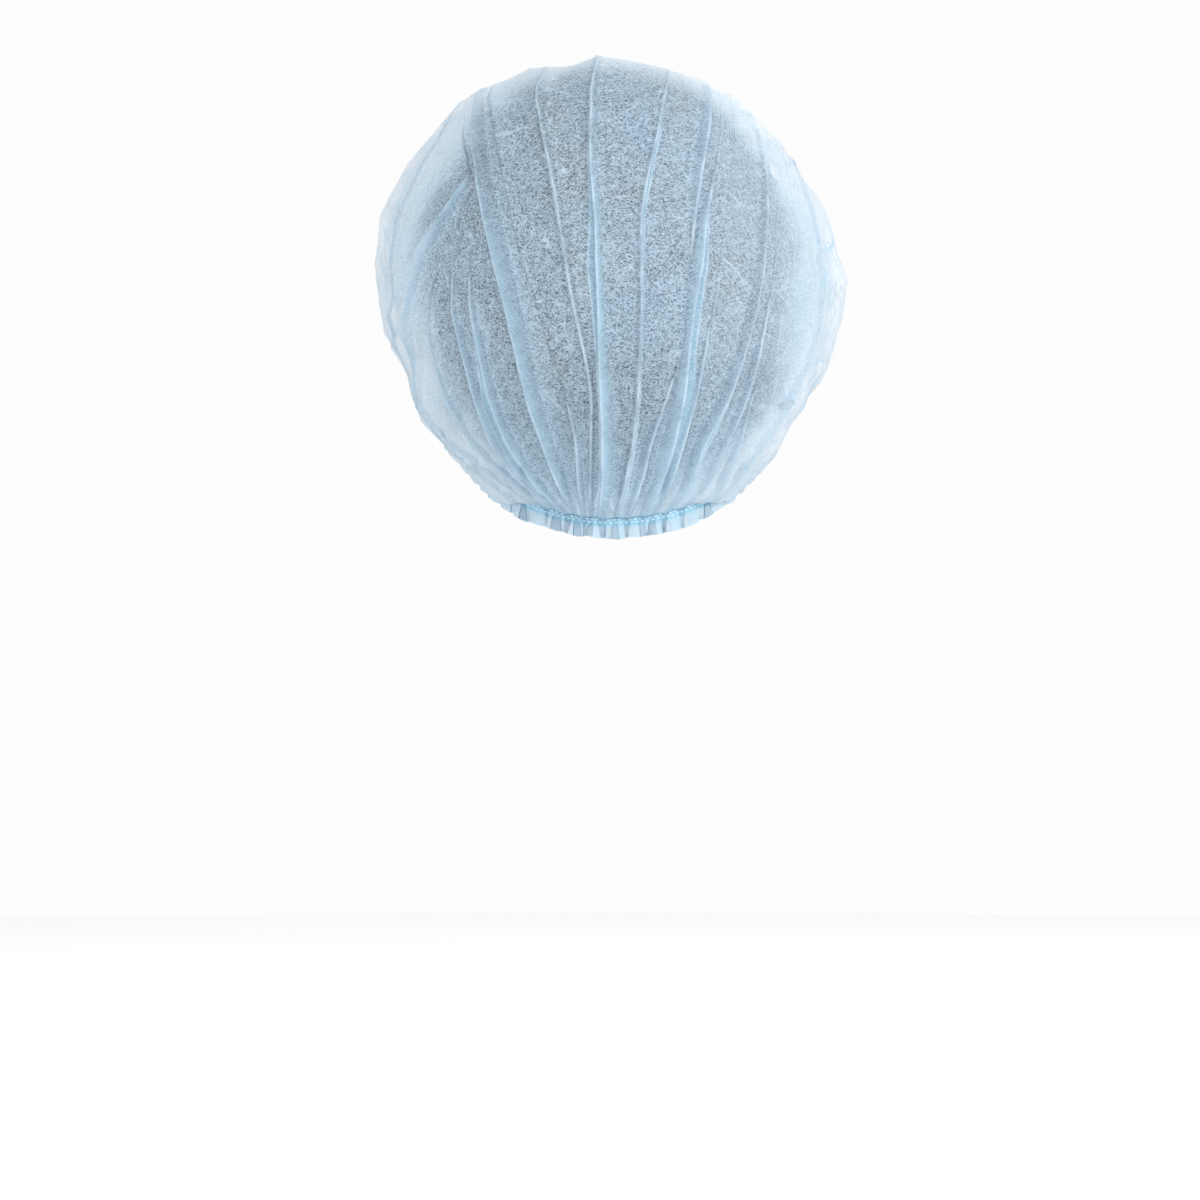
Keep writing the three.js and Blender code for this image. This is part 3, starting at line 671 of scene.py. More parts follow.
P[path_i, path_j] = rim + up * BAND_HALF * 1.1 + e_out * (0.4 + 0.8 * shape_h)[:, None]
hem_noise = value_noise(rim_phi * 9 + 20, np.zeros(N_PATH), 12)
rings, ring_kind = [], []
for height in (0.6, 0.0, -0.6, -1.1):                  # over the elastic
    rings.append(rim + up * (BAND_HALF * height) + e_out * (0.30 + 0.70 * shape_h)[:, None])
    ring_kind.append(1.0)
for share in (0.12, 0.26, 0.42, 0.58, 0.74, 0.88, 1.0):
    length = FRILL_DROP * (1 + 0.06 * hem_noise + 0.05 * np.cos(rim_phase))
    swing = (0.25 + 0.75 * share) * (1 + 0.3 * long_wave[path_i, path_j])
    fold_over = 1.5 * swing * np.sin(rim_phase) + 0.35 * swing * np.sin(2.0 * rim_phase + 1.0)
    ruffle = (1.0 + 1.2 * swing * np.cos(rim_phase + 0.6) + 0.40 * swing * np.cos(3.0 * rim_phase + 2.0)
              + 0.25 * value_noise(rim_phi * 40, share + np.zeros(N_PATH), 14))
    rings.append(rim - up * BAND_HALF * 1.1 + down * ((length - BAND_HALF * 1.1) * share)[:, None]
                 + stand_off * ruffle[:, None] + along * fold_over[:, None])
    ring_kind.append(2.0 + share)

# ---------------------------------------------------------------- write the cloth mesh
def spacing(axis):
    step = np.linalg.norm(np.diff(P, axis=axis), axis=-1)
    return step.mean(axis=1 - axis)


flat_s = np.concatenate([[0], np.cumsum(spacing(0))])
flat_t = np.concatenate([[0], np.cumsum(spacing(1))])
flat_s, flat_t = flat_s - flat_s[COLS // 2], flat_t - flat_t[ROWS // 2]
S, T = np.meshgrid(flat_s, flat_t, indexing="ij")
# the middle mask, where the cloth is painted deeper as painted shade of a dark inside seen through it
edge_b, edge_r = polar(MIDDLE_EDGE[:, 0], MIDDLE_EDGE[:, 1])
order = np.argsort(edge_b)
here_b, here_r = polar(P[..., 0], P[..., 2])
edge_here = np.interp(here_b, edge_b[order], edge_r[order], period=2 * np.pi)
edge_here = edge_here + 3.4 * value_noise(P[..., 0] / 15 + 60, P[..., 2] / 15 + 60, 33)
edge_here = edge_here + 1.6 * value_noise(P[..., 0] / 5 + 20, P[..., 2] / 5 + 20, 34)
soft_here = np.interp(here_b, edge_b[order], MIDDLE_EDGE[order, 2], period=2 * np.pi)
soft_here = soft_here * 1.3 + smooth(-40, 30, P[..., 1]) * 8
middle = smooth(-1, 1, (edge_here - here_r) / soft_here) * (1 - smooth(-30, 22, P[..., 1]))
# rim_share: how near the outline a place lies; near it the gaps are painted pale, a painted backlight shining through
# the cloth
outline_b, outline_r = polar(OUTLINE[:, 0], OUTLINE[:, 1])
order = np.argsort(outline_b)
rim_share = smooth(0.80, 0.99, here_r / np.interp(here_b, outline_b[order], outline_r[order], period=2 * np.pi))
verts = [P.reshape(-1, 3)]
flat_uv = [np.stack([S.ravel(), T.ravel()], -1)]
values = {"gathered": [smooth(0.80, 0.985, rho).ravel()], "from_edge": [FROM_EDGE.ravel()], "veil": [VEIL.ravel()],
          "catches": [CATCHES.ravel()], "in_under": [IN_UNDER.ravel()], "pleat": [np.zeros(COLS * ROWS)], "fold_line": [np.zeros(COLS * ROWS)], "middle": [middle.ravel()],
          "rim": [rim_share.ravel()], "waist": [smooth(0.985, 1.0, rho).ravel()], "hem": [np.full(COLS * ROWS, 9.0)]}
index = np.arange(COLS * ROWS).reshape(COLS, ROWS)
a, b, c, d = index[:-1, :-1], index[1:, :-1], index[1:, 1:], index[:-1, 1:]
faces = [np.stack([a.ravel(), b.ravel(), c.ravel(), d.ravel()], -1)]
above = index[path_i, path_j]
start = COLS * ROWS
edge_uv = flat_uv[0][above]
on_side = (path_i == 0) | (path_i == COLS - 1)
edge_dir = np.where(on_side[:, None], np.stack([np.sign(U[path_i, path_j]), np.zeros(N_PATH)], -1),
                    np.stack([np.zeros(N_PATH), np.sign(V[path_i, path_j])], -1))
for r, ring in enumerate(rings):
    ids = start + np.arange(N_PATH)
    verts.append(ring)
    flat_uv.append(edge_uv + edge_dir * (1.0 * (r + 1)))
    kind = ring_kind[r]
    values["gathered"].append(np.ones(N_PATH))
    values["from_edge"].append(np.full(N_PATH, 12.0))
    values["veil"].append(np.zeros(N_PATH))
    values["catches"].append(np.zeros(N_PATH))
    values["in_under"].append(np.full(N_PATH, -12.0))
    values["pleat"].append(smooth(0.25, 0.75, np.cos(rim_phase - 1.1)) * (kind > 1.5))
    fold_line = np.maximum(smooth(0.93, 0.995, np.cos(rim_phase - 2.3)), 0.6 * smooth(0.93, 0.995, np.cos(rim_phase - 0.1)))
    values["fold_line"].append(fold_line * (kind > 1.5))
    values["middle"].append(np.zeros(N_PATH))
    values["rim"].append(np.zeros(N_PATH))
    values["waist"].append(np.full(N_PATH, 1.0 if kind < 1.5 else max(0.0, 0.8 - 2.5 * (kind - 2))))
    values["hem"].append(np.full(N_PATH, 9.0 if kind < 1.5 else FRILL_DROP * (3 - kind)))
    faces.append(np.stack([above, ids, np.roll(ids, -1), np.roll(above, -1)], -1))
    above = ids
    start += N_PATH
verts = np.concatenate(verts) * MM
faces = np.concatenate(faces)
flat_uv = np.concatenate(flat_uv)
values = {name: np.concatenate(parts) for name, parts in values.items()}


def mesh_object(name, vertices, polygons):
    mesh = bpy.data.meshes.new(name)
    mesh.from_pydata([tuple(p) for p in vertices], [], [tuple(int(i) for i in f) for f in polygons])
    mesh.validate()
    mesh.update()
    mesh.polygons.foreach_set("use_smooth", np.ones(len(mesh.polygons), bool))
    obj = bpy.data.objects.new(name, mesh)
    SCENE.collection.objects.link(obj)
    return obj


cloth = mesh_object("pleated_cloth", verts, faces)
mesh = cloth.data
uv_layer = mesh.uv_layers.new(name="flat_cloth")
loops = np.zeros(len(mesh.loops), int)
mesh.loops.foreach_get("vertex_index", loops)
uv_layer.data.foreach_set("uv", (flat_uv[loops] * MM).ravel())
for name, numbers in values.items():
    attribute = mesh.attributes.new(name, "FLOAT", "POINT")
    attribute.data.foreach_set("value", numbers.astype(np.float32))

# ---------------------------------------------------------------- materials
def material(name):
    m = bpy.data.materials.new(name)
    m.use_nodes = True
    m.node_tree.nodes.clear()
    return m, m.node_tree.nodes, m.node_tree.links


def math_node(nodes, links, operation, a, b=None, clamp=False):
    n = nodes.new("ShaderNodeMath")
    n.operation = operation
    n.use_clamp = clamp
    for i, value in enumerate((a, b)):
        if value is None:
            continue
        if isinstance(value, (int, float)):
            n.inputs[i].default_value = value
        else:
            links.new(value, n.inputs[i])
    return n.outputs[0]


def map_range(nodes, links, value, from_min, from_max, to_min, to_max):
    n = nodes.new("ShaderNodeMapRange")
    links.new(value, n.inputs["Value"])
    for key, number in (("From Min", from_min), ("From Max", from_max), ("To Min", to_min), ("To Max", to_max)):
        n.inputs[key].default_value = number
    return n.outputs["Result"]


def mix_colour(nodes, links, factor, a, b):
    n = nodes.new("ShaderNodeMix")
    n.data_type = "RGBA"
    if isinstance(factor, (int, float)):
        n.inputs["Factor"].default_value = factor
    else:
        links.new(factor, n.inputs["Factor"])
    for key, value in (("A", a), ("B", b)):
        if isinstance(value, tuple):
            n.inputs[key].default_value = value + (1,)
        else:
            links.new(value, n.inputs[key])
    return n.outputs["Result"]


def attribute_of(nodes, name):
    n = nodes.new("ShaderNodeAttribute")
    n.attribute_name = name
    return n.outputs["Fac"]


def fibres(nodes, links, vector, size_mm, turn, stretch, seed, thin):
    """Thin curling strands: the lines along which a noise passes its middle value."""
    mapping = nodes.new("ShaderNodeMapping")
    mapping.inputs["Location"].default_value = (seed * 1.37, seed * 0.71, seed * 0.53)
    mapping.inputs["Rotation"].default_value = tuple(math.radians(a) for a in turn)
    mapping.inputs["Scale"].default_value = (1000 / (size_mm * stretch), 1000 / size_mm, 1000 / size_mm)
    links.new(vector, mapping.inputs["Vector"])
    noise = nodes.new("ShaderNodeTexNoise")
    noise.inputs["Scale"].default_value = 1.0
    noise.inputs["Detail"].default_value = 1.0
    links.new(mapping.outputs["Vector"], noise.inputs["Vector"])
    off = math_node(nodes, links, "SUBTRACT", noise.outputs[0], 0.5)
    return map_range(nodes, links, math_node(nodes, links, "ABSOLUTE", off), 0.0, thin, 1.0, 0.0)


def blot(nodes, links, vector, x, y, z, long, deep, wide, degrees, inner, plain):
    """A soft-ended stroke or spot on the back: plain at its middle, 0 past its edge."""
    mapping = nodes.new("ShaderNodeMapping")
    mapping.vector_type = "TEXTURE"
    mapping.inputs["Location"].default_value = (x * MM, y * MM, z * MM)
    mapping.inputs["Rotation"].default_value = (0, -math.radians(degrees), 0)
    mapping.inputs["Scale"].default_value = (long * MM, deep * MM, wide * MM)
    links.new(vector, mapping.inputs["Vector"])
    length = nodes.new("ShaderNodeVectorMath")
    length.operation = "LENGTH"
    links.new(mapping.outputs["Vector"], length.inputs[0])
    return map_range(nodes, links, length.outputs["Value"], inner, 1.0, float(plain), 0.0)


def strongest(nodes, links, parts):
    """The largest of several factors, each with a weight."""
    best = None
    for part, weight in parts:
        part = math_node(nodes, links, "MULTIPLY", part, float(weight))
        best = part if best is None else math_node(nodes, links, "MAXIMUM", best, part)
    return best


def charted(nodes, links, vector, rows, inner):
    best = None
    for row in rows:
        part = blot(nodes, links, vector, *row[:7], inner, row[7])
        best = part if best is None else math_node(nodes, links, "MAXIMUM", best, part)
    return best


def crushed(nodes, links, vector, long_x, long_y, degrees, line):
    """Straight crush lines between flat facets, and a tone for each facet."""
    mapping = nodes.new("ShaderNodeMapping")
    mapping.inputs["Rotation"].default_value = (0, 0, math.radians(degrees))
    mapping.inputs["Scale"].default_value = (1000 / long_x, 1000 / long_y, 1)
    links.new(vector, mapping.inputs["Vector"])
    edge = nodes.new("ShaderNodeTexVoronoi")
    edge.feature = "DISTANCE_TO_EDGE"
    cell = nodes.new("ShaderNodeTexVoronoi")
    for n in (edge, cell):
        n.voronoi_dimensions = "2D"
        n.inputs["Scale"].default_value = 1.0
        links.new(mapping.outputs["Vector"], n.inputs["Vector"])
    tone = nodes.new("ShaderNodeSeparateColor")
    links.new(cell.outputs["Color"], tone.inputs[0])
    return map_range(nodes, links, edge.outputs["Distance"], 0.0, line, 1.0, 0.0), tone.outputs[0]


def noise(nodes, links, vector, scale, detail):
    n = nodes.new("ShaderNodeTexNoise")
    n.inputs["Scale"].default_value = scale
    n.inputs["Detail"].default_value = detail
    links.new(vector, n.inputs["Vector"])
    return n


cloth_mat, nodes, links = material("spunbond")
place = nodes.new("ShaderNodeTexCoord").outputs["Object"]
uv = nodes.new("ShaderNodeUVMap")
uv.uv_map = "flat_cloth"

# the strands: three beds of short curls, and a few long loose ones on top
beds = [(fibres(nodes, links, place, size, turn, stretch, seed, thin), weight)
        for size, turn, stretch, seed, thin, weight in (
            (1.08, (0, 25, 0), 1.5, 1, 0.064, 1.0), (0.95, (0, 80, 20), 1.5, 2, 0.066, 0.85),
            (1.50, (0, -40, 10), 1.8, 3, 0.048, 1.0), (6.0, (0, 60, 0), 1.8, 5, 0.015, 1.0))]
strands = strongest(nodes, links, beds)
cloudy = noise(nodes, links, place, 110, 3)
cloud = map_range(nodes, links, cloudy.outputs[0], 0.3, 0.7, -1.0, 1.0)
patch = map_range(nodes, links, noise(nodes, links, place, 26, 2).outputs[0], 0.38, 0.62, 0.0, 1.0)

# crush lines and facets, in two sizes
crush_a, tone_a = crushed(nodes, links, uv.outputs["UV"], 13, 31, 6, 0.050)
crush_b, tone_b = crushed(nodes, links, uv.outputs["UV"], 19, 26, -35, 0.038)
net = fibres(nodes, links, place, 3.4, (0, 40, 0), 1.2, 9, 0.050)

# the charted small creases and thin places, on the back only and a little unsteady
unsteady = noise(nodes, links, place, 75, 1)
shake = nodes.new("ShaderNodeVectorMath")
shake.operation = "MULTIPLY_ADD"
links.new(unsteady.outputs["Color"], shake.inputs[0])
shake.inputs[1].default_value = (0.005, 0.005, 0.005)
links.new(place, shake.inputs[2])
shift = nodes.new("ShaderNodeVectorMath")
shift.operation = "SUBTRACT"
links.new(shake.outputs[0], shift.inputs[0])
shift.inputs[1].default_value = (0.0025, 0.0025, 0.0025)
axes = nodes.new("ShaderNodeSeparateXYZ")
links.new(place, axes.inputs[0])
back_points = P[:, on_back].reshape(-1, 3)


def back_y(x, z):
    return back_points[np.argmin((back_points[:, 0] - x) ** 2 + (back_points[:, 2] - z) ** 2), 1]


strokes = []
for x0, z0, x1, z1, half, plain in FINE_CREASES:
    y0, y1 = back_y(x0, z0), back_y(x1, z1)
    strokes.append(((x0 + x1) / 2, (y0 + y1) / 2, (z0 + z1) / 2, math.hypot(x1 - x0, z1 - z0) / 2 * 1.30, abs(y1 - y0) / 2 + 16,
                    half * 1.25, math.degrees(math.atan2(z1 - z0, x1 - x0)), plain))
spots = [(x, back_y(x, z) + 6, z, long, 0.8 * long + 10, wide, lean, thin) for x, z, long, wide, lean, thin in THIN_PLACES]
fine_f = charted(nodes, links, shift.outputs[0], strokes, 0.05)
thin_f = charted(nodes, links, shift.outputs[0], spots, 0.70)

middle_f = attribute_of(nodes, "middle")
waist_f = attribute_of(nodes, "waist")
pleat_f = attribute_of(nodes, "pleat")
from_edge = attribute_of(nodes, "from_edge")
in_under = attribute_of(nodes, "in_under")
# lit_f: where the drawn lines take a painted highlight, at the edge that catches the light and over the middle
lit_f = math_node(nodes, links, "MAXIMUM", attribute_of(nodes, "catches"), middle_f)
edge_line = map_range(nodes, links, from_edge, 0.30, 1.15, 1.0, 0.0)
under_f = map_range(nodes, links, in_under, -0.30, 0.30, 0.0, 1.0)
under_line = map_range(nodes, links, math_node(nodes, links, "ABSOLUTE", in_under), 0.20, 0.75, 1.0, 0.0)
hem_line = map_range(nodes, links, attribute_of(nodes, "hem"), 0.2, 0.9, 1.0, 0.0)
frill_f = map_range(nodes, links, attribute_of(nodes, "hem"), 8.9, 8.3, 0.0, 1.0)
broken = map_range(nodes, links, cloudy.outputs[0], 0.35, 0.60, 0.65, 1.0)
line_f = strongest(nodes, links, [(edge_line, 1.0), (hem_line, 1.0), (under_line, 0.50)])
line_f = math_node(nodes, links, "MULTIPLY", line_f, broken)
line_f = math_node(nodes, links, "MULTIPLY", line_f, map_range(nodes, links, unsteady.outputs[0], 0.40, 0.56, 0.50, 1.0))
line_f = math_node(nodes, links, "MULTIPLY", line_f, map_range(nodes, links, lit_f, 0.0, 0.4, 0.40, 1.0))
crush_line = math_node(nodes, links, "MULTIPLY", math_node(nodes, links, "MAXIMUM", crush_a, crush_b),
                       map_range(nodes, links, unsteady.outputs[0], 0.44, 0.56, 0.0, 1.0))
# low_f, left_f and right_f place painted light and shade: lighter on the right, darker on the left and towards the
# bottom, as from the key light on the right
low_f = map_range(nodes, links, axes.outputs["Z"], 0.020, -0.030, 0.0, 1.0)
lace_f = math_node(nodes, links, "MULTIPLY", strongest(nodes, links, [(strands, 0.45), (net, 1.0)]), thin_f)
front_f = map_range(nodes, links, axes.outputs["Y"], 0.018, 0.060, 0.0, 1.0)
left_f = map_range(nodes, links, axes.outputs["X"], -0.025, -0.055, 0.0, 0.8)
right_f = map_range(nodes, links, axes.outputs["X"], 0.020, 0.070, 0.0, 0.6)
off_centre = math_node(nodes, links, "ABSOLUTE", axes.outputs["X"])
side_f = map_range(nodes, links, off_centre, 0.040, 0.070, 0.15, 1.0)
top_f = map_range(nodes, links, off_centre, 0.040, 0.070, 1.0, 0.0)

# colour: the gaps between the strands, the strands, and both paler at the two sides; over the middle both are painted
# deeper, a painted shade as of a dark inside seen through the cloth
deep = mix_colour(nodes, links, patch, (0.116, 0.137, 0.158), (0.086, 0.138, 0.194))
# painted light on the right of the middle, then painted shade on its left and towards the bottom
deep = mix_colour(nodes, links, right_f, deep, (0.300, 0.350, 0.405))
deep = mix_colour(nodes, links, math_node(nodes, links, "MAXIMUM", low_f, left_f), deep, (0.080, 0.114, 0.152))
rim_f = attribute_of(nodes, "rim")
side_gap = mix_colour(nodes, links, tone_a, (0.55, 0.69, 0.79), (0.39, 0.58, 0.72))
# painted light: near the outline the gaps turn pale grey, as if lit through from behind
side_gap = mix_colour(nodes, links, math_node(nodes, links, "MULTIPLY", rim_f, 0.75), side_gap, (0.83, 0.82, 0.83))
side_gap = mix_colour(nodes, links, front_f, side_gap, (0.46, 0.64, 0.77))
side_strand = mix_colour(nodes, links, front_f, (0.77, 0.85, 0.91), (0.64, 0.79, 0.89))
gap = mix_colour(nodes, links, middle_f, side_gap, deep)
strand = mix_colour(nodes, links, middle_f, side_strand, (0.575, 0.69, 0.79))
# painted shade: the strands over the middle darker towards the bottom
strand = mix_colour(nodes, links, math_node(nodes, links, "MULTIPLY", low_f, middle_f), strand, (0.43, 0.54, 0.63))
colour = mix_colour(nodes, links, strands, gap, strand)
# over the middle the doubled cloth and the strip under a crease are painted deeper too, as painted shade
band_gap = mix_colour(nodes, links, middle_f, (0.54, 0.70, 0.81), (0.44, 0.63, 0.77))
band_strand = mix_colour(nodes, links, middle_f, (0.68, 0.81, 0.89), (0.56, 0.76, 0.88))
band_colour = mix_colour(nodes, links, strands, band_gap, band_strand)
under_gap = mix_colour(nodes, links, middle_f, (0.42, 0.62, 0.77), (0.27, 0.45, 0.58))
under_strand = mix_colour(nodes, links, middle_f, (0.62, 0.79, 0.90), (0.48, 0.67, 0.80))
under_colour = mix_colour(nodes, links, strands, under_gap, under_strand)
colour = mix_colour(nodes, links, math_node(nodes, links, "MULTIPLY", under_f, 0.85), colour, under_colour)
veil = math_node(nodes, links, "MULTIPLY", attribute_of(nodes, "veil"), map_range(nodes, links, cloudy.outputs[0], 0.35, 0.65, 0.85, 1.10), clamp=True)
veil = math_node(nodes, links, "MAXIMUM", veil, math_node(nodes, links, "MULTIPLY", patch, 0.15))
colour = mix_colour(nodes, links, veil, colour, band_colour)
gathered_f = math_node(nodes, links, "MULTIPLY", attribute_of(nodes, "gathered"), 0.35)
colour = mix_colour(nodes, links, gathered_f, colour, band_colour)
colour = mix_colour(nodes, links, math_node(nodes, links, "MULTIPLY", thin_f, 0.95), colour, (0.98, 0.98, 0.985))
colour = mix_colour(nodes, links, math_node(nodes, links, "MULTIPLY", lace_f, 0.80), colour, (0.52, 0.66, 0.77))
crush_f = math_node(nodes, links, "MULTIPLY", crush_line, map_range(nodes, links, middle_f, 0.0, 1.0, 0.75, 0.26))
crush_f = math_node(nodes, links, "MULTIPLY", crush_f, math_node(nodes, links, "MAXIMUM", side_f, middle_f))
crush_colour = mix_colour(nodes, links, rim_f, (0.62, 0.78, 0.88), (0.40, 0.60, 0.75))
colour = mix_colour(nodes, links, crush_f, colour, crush_colour)
colour = mix_colour(nodes, links, math_node(nodes, links, "MULTIPLY", pleat_f, 0.45), colour, (0.56, 0.76, 0.88))
colour = mix_colour(nodes, links, math_node(nodes, links, "MULTIPLY", frill_f, 0.40), colour, (0.46, 0.58, 0.66))
colour = mix_colour(nodes, links, math_node(nodes, links, "MULTIPLY", waist_f, 0.65), colour, (0.30, 0.66, 0.85))
# the fold-edge, hem, under-strip, small-crease and frill-fold lines: partly the cloth's own folds and creases seen
# edge-on, partly painted highlight, brighter and stronger where lit_f is high
line_colour = mix_colour(nodes, links, lit_f, (0.52, 0.70, 0.82), (0.76, 0.90, 0.99))
line_f = strongest(nodes, links, [(line_f, 0.92), (fine_f, 0.52), (attribute_of(nodes, "fold_line"), 0.70)])
colour = mix_colour(nodes, links, line_f, colour, line_colour)

# how much of the surface the fibres cover
cover = map_range(nodes, links, middle_f, 0.0, 1.0, 0.66, 0.94)
tone = math_node(nodes, links, "ADD", tone_a, tone_b)
cover = math_node(nodes, links, "ADD", cover, math_node(nodes, links, "MULTIPLY", tone, map_range(nodes, links, middle_f, 0.0, 1.0, 0.12, 0.0)))
for factor, amount in ((strands, 0.12), (cloud, 0.04), (veil, 0.25), (crush_f, 0.18), (waist_f, 0.35), (pleat_f, 0.12), (frill_f, 0.14), (front_f, 0.18), (top_f, 0.16)):
    cover = math_node(nodes, links, "ADD", cover, math_node(nodes, links, "MULTIPLY", factor, amount))
cover = math_node(nodes, links, "MULTIPLY", cover, map_range(nodes, links, thin_f, 0.0, 1.0, 1.0, 0.90))
cover = math_node(nodes, links, "ADD", cover, math_node(nodes, links, "MULTIPLY", line_f, 0.40))
cover = math_node(nodes, links, "MINIMUM", cover, 1.0)

bump = nodes.new("ShaderNodeBump")
bump.inputs["Strength"].default_value = 0.30
bump.inputs["Distance"].default_value = 0.0002
links.new(beds[0][0], bump.inputs["Height"])

diffuse = nodes.new("ShaderNodeBsdfPrincipled")
diffuse.inputs["Roughness"].default_value = 0.75
diffuse.inputs["Specular IOR Level"].default_value = 0.25
links.new(colour, diffuse.inputs["Base Color"])
links.new(bump.outputs["Normal"], diffuse.inputs["Normal"])
through_light = nodes.new("ShaderNodeBsdfTranslucent")
links.new(colour, through_light.inputs["Color"])
body = nodes.new("ShaderNodeMixShader")
body.inputs[0].default_value = 0.40
links.new(diffuse.outputs[0], body.inputs[1])
links.new(through_light.outputs[0], body.inputs[2])
clear = nodes.new("ShaderNodeBsdfTransparent")
mix = nodes.new("ShaderNodeMixShader")
links.new(cover, mix.inputs[0])
links.new(clear.outputs[0], mix.inputs[1])
links.new(body.outputs[0], mix.inputs[2])
out = nodes.new("ShaderNodeOutputMaterial")
links.new(mix.outputs[0], out.inputs["Surface"])
cloth.data.materials.append(cloth_mat)

# ---------------------------------------------------------------- the elastic band
BAND_SEGMENTS = 720
band_inset, band_thick, band_half = 2.35, 0.9, 1.6
section = []
for deg in range(0, 360, 30):
    s = math.radians(deg)
    cx, cy = math.cos(s), math.sin(s)
    section.append((band_thick / 2 * math.copysign(abs(cx) ** 0.5, cx), band_half * math.copysign(abs(cy) ** 0.35, cy)))
band_phi = np.linspace(0, 2 * np.pi, BAND_SEGMENTS, endpoint=False)
centre = loop_point(band_phi)
inward = -outward(band_phi)
rib = 0.10 * np.sin(band_phi * 240)
band_verts = []
for sx, sy in section:
    off = band_inset + band_thick / 2 - sx * (1 + 0 * rib) - np.sign(sx) * rib
    band_verts.append(centre + inward * off[:, None] + up * sy)
band_verts = np.stack(band_verts, 1).reshape(-1, 3)
m = len(section)
band_faces = []
for k in range(BAND_SEGMENTS):
    n = (k + 1) % BAND_SEGMENTS
    for c in range(m):
        band_faces.append((k * m + c, k * m + (c + 1) % m, n * m + (c + 1) % m, n * m + c))
band = mesh_object("elastic", band_verts * MM, band_faces)

band_mat, nodes, links = material("elastic_knit")
coord = nodes.new("ShaderNodeTexCoord")
wave = nodes.new("ShaderNodeTexNoise")
wave.inputs["Scale"].default_value = 1500
wave.inputs["Detail"].default_value = 2
links.new(coord.outputs["Object"], wave.inputs["Vector"])
ramp = nodes.new("ShaderNodeMix")
ramp.data_type = "RGBA"
ramp.inputs["A"].default_value = (0.18, 0.52, 0.74, 1)
ramp.inputs["B"].default_value = (0.36, 0.72, 0.88, 1)
links.new(map_range(nodes, links, wave.outputs[0], 0.35, 0.65, 0, 1), ramp.inputs["Factor"])
shader = nodes.new("ShaderNodeBsdfPrincipled")
shader.inputs["Roughness"].default_value = 0.6
links.new(ramp.outputs["Result"], shader.inputs["Base Color"])
knit_bump = nodes.new("ShaderNodeBump")
knit_bump.inputs["Strength"].default_value = 0.4
knit_bump.inputs["Distance"].default_value = 0.0002
links.new(wave.outputs[0], knit_bump.inputs["Height"])
links.new(knit_bump.outputs["Normal"], shader.inputs["Normal"])
out = nodes.new("ShaderNodeOutputMaterial")
links.new(shader.outputs[0], out.inputs["Surface"])
band.data.materials.append(band_mat)

# ---------------------------------------------------------------- the stitches
def capsule(length, radius):
    rings_x = [(-length / 2, 0.0), (-length / 2 + radius * 0.3, radius * 0.75), (-length / 2 + radius, radius),
               (length / 2 - radius, radius), (length / 2 - radius * 0.3, radius * 0.75), (length / 2, 0.0)]
    vs, fs = [], []
    sides = 6
    for x, r in rings_x:
        for s in range(sides):
            a = 2 * math.pi * s / sides
            vs.append((x, max(r, 0.02) * math.cos(a), max(r, 0.02) * math.sin(a)))
    for i in range(len(rings_x) - 1):
        for s in range(sides):
            t = (s + 1) % sides
            fs.append((i * sides + s, i * sides + t, (i + 1) * sides + t, (i + 1) * sides + s))
    fs.append(tuple(range(sides))[::-1])
    fs.append(tuple((len(rings_x) - 1) * sides + s for s in range(sides)))
    return np.array(vs), fs


cap_v, cap_f = capsule(1.40, 0.21)
rim_order = np.argsort((rim_phi + np.pi) % (2 * np.pi))
rim_sorted = ((rim_phi + np.pi) % (2 * np.pi) - np.pi)[rim_order]
rim_h = shape_h[rim_order]
stitch_v, stitch_f, base_index = [], [], 0
for height, offset in ((0.62, 0.0), (-0.58, 1.1)):
    count = int(PERIMETER / 2.35)
    for k in range(count):
        s = ((k + 0.5) * PERIMETER / count + offset + rng.uniform(-0.15, 0.15)) % PERIMETER
        ph = float(np.interp(s, run, dense))
        p = loop_point(np.array(ph))
        tangent = loop_point(np.array(ph + 1e-3)) - loop_point(np.array(ph - 1e-3))
        tangent = tangent / np.linalg.norm(tangent) + up * rng.uniform(-0.18, 0.18)
        tangent /= np.linalg.norm(tangent)
        o = outward(np.array(ph))
        near = np.abs(rim_sorted - ph) < 0.014
        top = rim_h[near].max() if near.any() else 0.8
        at = p + up * (height + rng.uniform(-0.15, 0.15)) + o * (0.50 + 0.70 * min(top, 1.5) + rng.uniform(-0.1, 0.12))
        o = o - tangent * (o @ tangent)
        o /= np.linalg.norm(o)
        side_axis = np.cross(tangent, o)
        stitch_v.append(at + cap_v[:, :1] * tangent + cap_v[:, 1:2] * o + cap_v[:, 2:3] * side_axis)
        stitch_f += [tuple(i + base_index for i in f) for f in cap_f]
        base_index += len(cap_v)
stitches = mesh_object("stitches", np.concatenate(stitch_v) * MM, stitch_f)
thread_mat, nodes, links = material("white_thread")
coord = nodes.new("ShaderNodeTexCoord")
twist = nodes.new("ShaderNodeTexNoise")
twist.inputs["Scale"].default_value = 2500
links.new(coord.outputs["Object"], twist.inputs["Vector"])
ramp = nodes.new("ShaderNodeMix")
ramp.data_type = "RGBA"
ramp.inputs["A"].default_value = (0.78, 0.93, 0.98, 1)
ramp.inputs["B"].default_value = (0.94, 0.98, 1.0, 1)
links.new(map_range(nodes, links, twist.outputs[0], 0.3, 0.7, 0, 1), ramp.inputs["Factor"])
shader = nodes.new("ShaderNodeBsdfPrincipled")
shader.inputs["Roughness"].default_value = 0.5
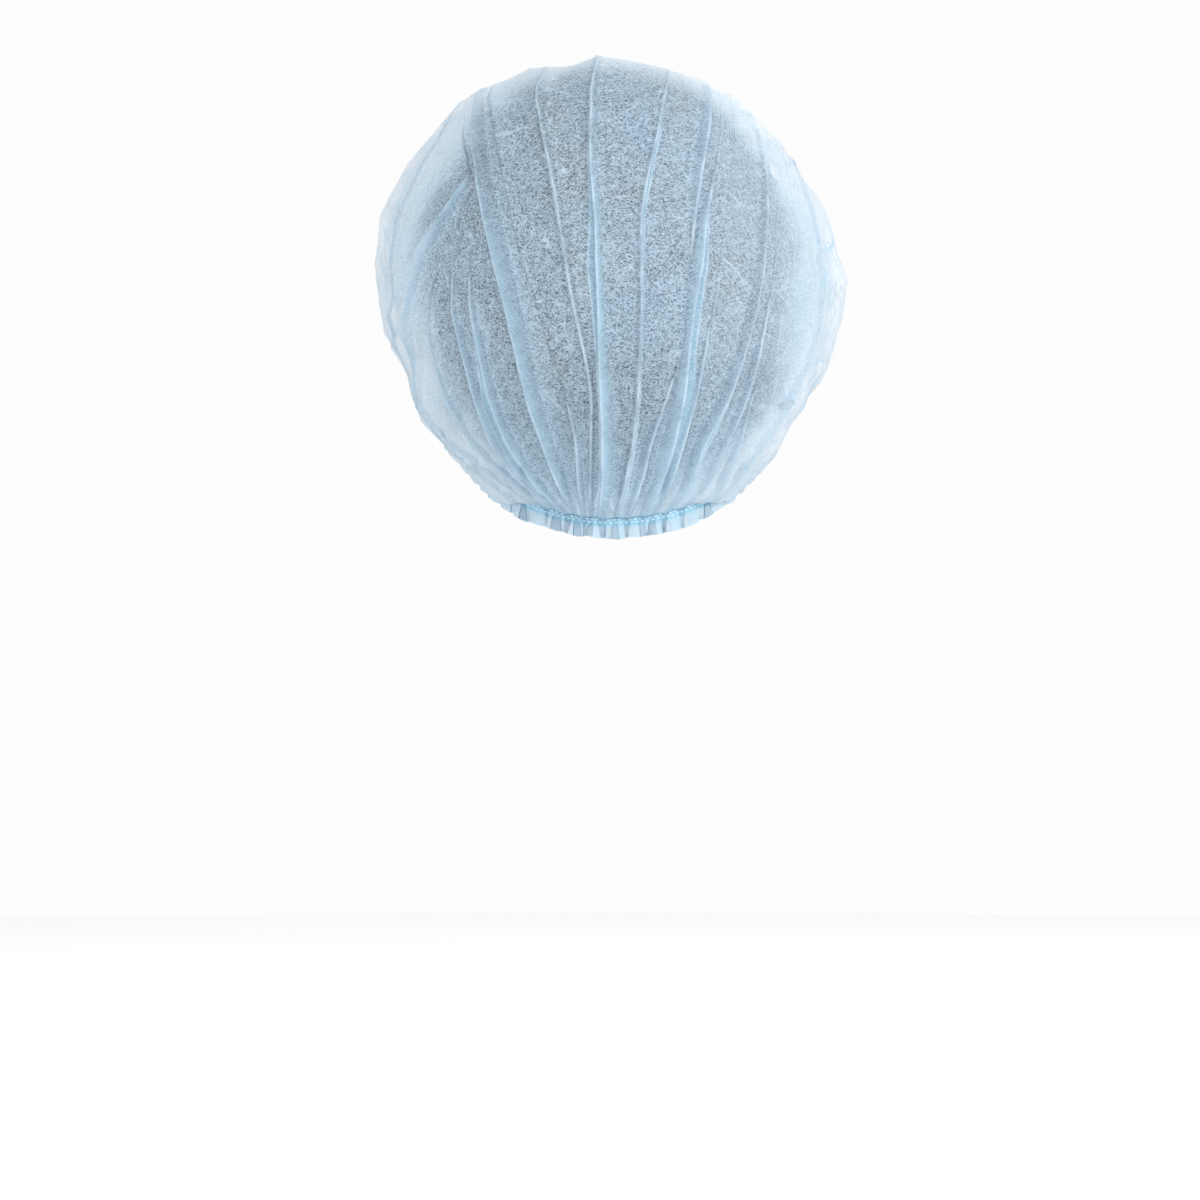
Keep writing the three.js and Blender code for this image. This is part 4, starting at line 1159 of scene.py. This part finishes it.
links.new(ramp.outputs["Result"], shader.inputs["Base Color"])
out = nodes.new("ShaderNodeOutputMaterial")
links.new(shader.outputs[0], out.inputs["Surface"])
stitches.data.materials.append(thread_mat)

# ---------------------------------------------------------------- what each piece is
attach(cloth, "root")
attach(band, "root")
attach(stitches, "root")
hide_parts("crown_sheet")
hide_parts("elastic_band")

# ---------------------------------------------------------------- floor, light and air
floor_mesh = bpy.data.meshes.new("floor")
sides = 64
ring = [(3.2 * math.cos(2 * math.pi * k / sides), 3.2 * math.sin(2 * math.pi * k / sides), -0.42) for k in range(sides)]
floor_mesh.from_pydata(ring, [], [tuple(range(sides))])
floor = bpy.data.objects.new("floor", floor_mesh)
SCENE.collection.objects.link(floor)
floor_mat, nodes, links = material("pale_floor")
shader = nodes.new("ShaderNodeBsdfPrincipled")
shader.inputs["Base Color"].default_value = (0.90, 0.90, 0.90, 1)
shader.inputs["Roughness"].default_value = 0.9
out = nodes.new("ShaderNodeOutputMaterial")
links.new(shader.outputs[0], out.inputs["Surface"])
floor.data.materials.append(floor_mat)


def area_light(name, at, towards, size, watts, colour=(1, 1, 1)):
    data = bpy.data.lights.new(name, "AREA")
    data.shape = "SQUARE"
    data.size = size
    data.energy = watts
    data.color = colour
    light = bpy.data.objects.new(name, data)
    SCENE.collection.objects.link(light)
    light.location = at
    direction = Vector(towards) - Vector(at)
    light.rotation_euler = direction.to_track_quat("-Z", "Y").to_euler()
    light.visible_camera = False
    return light


area_light("key", (1.9, -1.7, 1.3), (0, 0, 0.04), 0.9, 34)
area_light("fill", (-1.8, -1.6, 0.5), (0, 0, 0.04), 1.4, 4)
area_light("rim", (0.6, 2.0, 1.6), (0, 0, 0.05), 1.4, 12)

world = bpy.data.worlds.new("studio")
world.use_nodes = True
background = world.node_tree.nodes["Background"]
background.inputs["Color"].default_value = (1, 1, 1, 1)
background.inputs["Strength"].default_value = 0.98
SCENE.world = world
SCENE.view_settings.view_transform = "Standard"
SCENE.cycles.transparent_max_bounces = 48
SCENE.cycles.max_bounces = 12
